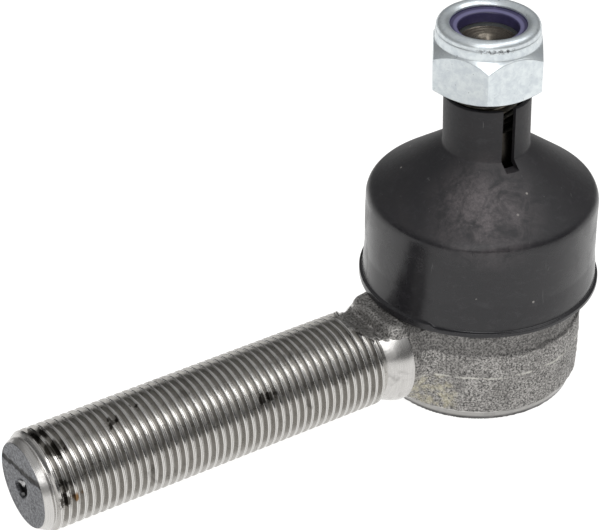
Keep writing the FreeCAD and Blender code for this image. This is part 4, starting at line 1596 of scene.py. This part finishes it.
@dataclass
class DustBoot:
    """Rubber boot: a bead in the eye's groove, a folded wall and a lip that grips the stud."""

    low: float
    top: float
    side_radius: float
    wall: float = 1.1
    groove_radius: float = 16.75
    bead_radius: float = 18.1
    ring_floor: float = 17.7
    ring_low: float = 7.9
    ring_high: float = 9.1
    side_top: float = 12.5
    lip_radius: float = 9.55
    lip_bore: float = 7.4
    lip_low: float = 20.2
    turns: int = 128

    @classmethod
    def from_frame(cls) -> "DustBoot":
        """Take the height and the side from the frame."""
        low, high = node_box("dust_boot")
        return cls(low=float(low[2]), top=float(high[2]), side_radius=float(high[0]))

    def outline(self) -> np.ndarray:
        """Closed outline with a waved wall: the wall's line is an arc with a ripple of three tenths."""
        share = np.linspace(0.0, 1.0, 22)[1:-1]
        turn = np.sin(share * math.pi / 2.0)
        across = self.side_radius + (self.lip_radius - self.side_radius) * turn ** 1.6
        up = self.side_top + (self.lip_low - self.side_top) * turn
        ripple = 0.3 * np.sin(share * 3.0 * math.pi) ** 2
        outer = np.stack([across - ripple, up - ripple * 0.3], axis=1)
        inner = (outer - self.wall * np.array([0.75, 0.66]))[::-1]
        bead = rounded([
            (self.groove_radius, self.low, 0.15), (self.bead_radius, self.low, 0.2),
            (self.bead_radius, self.ring_low, 0.1), (self.ring_floor, self.ring_low, 0.1),
            (self.ring_floor, self.ring_high, 0.1), (self.bead_radius, self.ring_high, 0.1),
            (self.side_radius, 10.0, 0.3),
        ])
        lip = rounded([
            (self.lip_radius, self.lip_low, 0.3), (self.lip_radius, self.top, 0.3),
            (self.lip_bore, self.top, 0.3), (self.lip_bore, self.lip_low, 0.2),
        ])
        within = self.side_radius - self.wall
        side = [[self.side_radius, 10.1], [self.side_radius, self.side_top]]
        foot = [[within, self.side_top], [within, 9.85], [self.groove_radius, 9.85]]
        return np.vstack([bead[3:-1], side, outer, lip[3:-3], inner, foot])

    def build(self, finishes: Finishes) -> None:
        """Make the boot."""
        surface = turned(densified(self.outline(), 1.2), self.turns)
        piece = add_object("dust_boot_moulded", surface, sharp=45.0)
        finishes.rubber.dress(piece)
        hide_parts("dust_boot")
        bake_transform(piece)


# ---------------------------------------------------------------- lock nut


@dataclass
class LockNut:
    """Hexagonal lock nut with chamfered corners, a rolled collar and a nylon ring."""

    low: float
    top: float
    ring_low: float
    ring_top: float
    across_flats: float = 18.8
    corner_turn: float = 54.4
    washer_radius: float = 9.2
    lower_slope: float = 0.57
    hex_top: float = 8.6
    upper_slope: float = 1.02
    collar_radius: float = 9.15
    fold_height: float = 10.45
    roll_crest: float = 7.85
    mouth_radius: float = 6.72
    bore_radius: float = 6.05
    ring_seat: float = 7.8
    ring_bore: float = 5.3
    turns: int = 144

    @classmethod
    def from_frame(cls) -> "LockNut":
        """Take the heights of the nut and its ring from the frame."""
        low, top = (float(corner[2]) for corner in node_box("lock_nut"))
        ring_low, ring_top = (float(corner[2]) for corner in node_box("nylon_insert"))
        return cls(low=low, top=top, ring_low=ring_low, ring_top=ring_top)

    def hex_radius(self, angle: np.ndarray) -> np.ndarray:
        """Radius of the hexagon: half the distance across flats over the cosine from a flat's middle."""
        sector = TAU / 6.0
        away = (angle - math.radians(self.corner_turn)) % sector - sector / 2.0
        return self.across_flats / 2.0 / np.cos(away)

    def nut_surface(self) -> Surface:
        """Nut's surface: one outline at each angle, whose chamfer corners lie where cone and flat meet."""
        angle = math.radians(self.corner_turn) + np.arange(self.turns) * TAU / self.turns
        hexagon = self.hex_radius(angle)
        excess = hexagon - self.washer_radius
        shoulder = self.washer_radius
        rolled = arc_points((self.roll_crest, 0.0), 1.25, math.radians(8), math.radians(128), 12)
        ring: list[tuple[Reach, Reach]] = [
            (self.bore_radius + 0.5, 0.0), (shoulder - 0.1, 0.0), (shoulder, 0.03),
            (hexagon, 0.05 + excess * self.lower_slope), (hexagon, self.hex_top - excess * self.upper_slope),
            (shoulder + 0.02, self.hex_top - 0.02), (self.collar_radius, self.hex_top + 0.14),
            (self.collar_radius, self.hex_top + 0.8), (self.collar_radius, self.fold_height - 0.12),
            (self.collar_radius - 0.09, self.fold_height),
            *((across, self.top - self.low - 1.25 + up) for across, up in rolled),
            (self.mouth_radius, self.top - self.low - 0.62), (self.mouth_radius, 11.02),
            (self.ring_seat, 11.0), (self.ring_seat, 8.6), (self.bore_radius, 8.6), (self.bore_radius, 0.5),
        ]
        radius = np.array([np.broadcast_to(across, (self.turns,)) for across, _ in ring])
        height = self.low + np.array([np.broadcast_to(up, (self.turns,)) for _, up in ring])
        return Surface(round_axis(radius, angle, height), grid_quads(len(ring), self.turns, True, True))

    def ring_outline(self) -> np.ndarray:
        """Closed outline of the nylon ring, with a well rounded upper edge round its hole."""
        outer = self.ring_seat - 0.05
        return rounded([
            (self.ring_bore, self.ring_low, 0.1), (outer, self.ring_low, 0.1), (outer, self.ring_top, 0.1),
            (self.ring_bore + 1.25, self.ring_top, 0.4), (self.ring_bore, self.ring_top - 0.35, 0.35),
        ])

    def build(self, finishes: Finishes) -> None:
        """Make the nut and its ring and put them on their bodies."""
        nut = add_object("lock_nut_plated", self.nut_surface(), sharp=28.0)
        bevel_edges(nut, 0.2)
        finishes.zinc_nut.dress(nut)
        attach(nut, Body.NUT.value)
        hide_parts("lock_nut")
        ring = add_object("nylon_ring", turned(densified(self.ring_outline(), 0.6), 96), sharp=45.0)
        finishes.nylon.dress(ring)
        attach(ring, Body.NUT_RING.value)
        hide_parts("nylon_insert")


# ---------------------------------------------------------------- pieces kept from the frame


def dress_kept_nodes(finishes: Finishes) -> None:
    """Give the nodes that keep their own shape their finishes.

    Args:
        finishes: every finish of the part.
    """
    kept = {
        "upper_bearing_seat": finishes.acetal,
        "lower_bearing_seat": finishes.acetal,
        "preload_disc_spring": finishes.spring,
        "closing_plate": finishes.zinc_plate,
        "boot_lower_ring": finishes.spring,
        "boot_upper_ring": finishes.spring,
    }
    for node, coat in kept.items():
        coat.dress(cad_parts[node])
        LOG.info("%s keeps its own shape", node)


# ---------------------------------------------------------------- studio


@dataclass(frozen=True)
class Softbox:
    """Square light that faces the part: its middle and side in metres, and its power in watts."""

    name: str
    place: tuple[float, float, float]
    side: float
    power: float
    aim: tuple[float, float, float] = (-0.02, 0.0, 0.015)

    def build(self) -> None:
        """Make the light and turn it to the part."""
        lamp = bpy.data.lights.new(self.name, "AREA")
        lamp.shape = "RECTANGLE"
        lamp.size = lamp.size_y = self.side
        lamp.energy = self.power
        light = bpy.data.objects.new(self.name, lamp)
        light.location = self.place
        aim = Vector(self.aim) - Vector(self.place)
        light.rotation_euler = aim.to_track_quat("-Z", "Y").to_euler()
        bpy.context.scene.collection.objects.link(light)


@dataclass(frozen=True)
class Studio:
    """Pale floor, soft lights and the camera."""

    camera_place: tuple[float, float, float] = (-0.230098, -0.296559, 0.256220)
    azimuth: float = -32.843
    elevation: float = 33.325
    roll: float = -0.259
    lens: float = 147.455
    sensor: float = 36.0
    floor_gap: float = 0.0001
    floor_reach: float = 6.0
    floor_colour: Colour = (0.25, 0.25, 0.25, 1)
    floor_glow: Colour = (1.0, 0.995, 0.985, 1)
    floor_glow_strength: float = 0.96
    wall_light: Pair = (0.025, 0.52)
    softboxes: tuple[Softbox, ...] = (
        Softbox("key_softbox", (0.23, -0.18, 0.52), 0.35, 0.85),
        Softbox("left_softbox", (-0.36, -0.33, 0.30), 0.30, 0.57),
        Softbox("front_softbox", (-0.17, -0.26, 0.49), 0.22, 0.80),
    )

    def add_floor(self) -> None:
        """Wide pale floor just under the part's foot."""
        mesh = bpy.data.meshes.new("floor")
        reach = self.floor_reach
        level = CAD_BOX[0][2] - self.floor_gap
        sides = ((-reach, -reach), (reach, -reach), (reach, reach), (-reach, reach))
        mesh.from_pydata([(across, along, level) for across, along in sides], [], [(0, 1, 2, 3)])
        floor = bpy.data.objects.new("floor", mesh)
        bpy.context.scene.collection.objects.link(floor)
        material = bpy.data.materials.new("floor_paper")
        material.use_nodes = True
        shader = material.node_tree.nodes["Principled BSDF"]
        shader.inputs["Base Color"].default_value = self.floor_colour
        shader.inputs["Roughness"].default_value = 0.9
        shader.inputs["Specular IOR Level"].default_value = 0.0
        shader.inputs["Emission Color"].default_value = self.floor_glow
        shader.inputs["Emission Strength"].default_value = self.floor_glow_strength
        mesh.materials.append(material)

    def add_camera(self) -> None:
        """Camera that looks back along its azimuth and elevation, with a slight roll."""
        turn, lift, roll = (math.radians(a) for a in (self.azimuth, self.elevation, self.roll))
        right = Vector((math.cos(turn), math.sin(turn), 0.0))
        back = Vector((right.y, -right.x, 0.0)) * math.cos(lift) + Vector((0.0, 0.0, math.sin(lift)))
        up = back.cross(right)
        cosine, sine = math.cos(roll), math.sin(roll)
        right, up = right * cosine + up * sine, up * cosine - right * sine
        data = bpy.data.cameras.new("camera")
        data.lens = self.lens
        data.sensor_width = self.sensor
        data.clip_start = 0.01
        camera = bpy.data.objects.new("camera", data)
        basis = Matrix((right, up, back)).transposed().to_4x4()
        basis.translation = Vector(self.camera_place)
        camera.matrix_world = basis
        bpy.context.scene.collection.objects.link(camera)
        bpy.context.scene.camera = camera

    def add_world(self) -> None:
        """Dim walls that lighten towards the ceiling."""
        world = bpy.data.worlds.new("dim_room")
        world.use_nodes = True
        tree = Tree(world.node_tree)
        up = tree.parts(tree.node("ShaderNodeTexCoord", {}).outputs["Generated"])[2]
        tree.wire(world.node_tree.nodes["Background"], Color=tree.rise(up, 0.0, 0.85, *self.wall_light))
        bpy.context.scene.world = world

    def build(self) -> None:
        """Set the scene up."""
        self.add_world()
        self.add_floor()
        for softbox in self.softboxes:
            softbox.build()
        bpy.context.scene.view_settings.view_transform = "Standard"
        self.add_camera()


def main() -> None:
    """Build every sub-assembly in order."""
    logging.basicConfig(level=logging.INFO, format="%(message)s")
    finishes = Finishes()
    Studio().build()
    for maker in (ForgedHousing, BallStud, TransitCap, DustBoot, LockNut):
        LOG.info("building %s", maker.__name__)
        maker.from_frame().build(finishes)
    dress_kept_nodes(finishes)


if __name__ == "__main__":
    main()
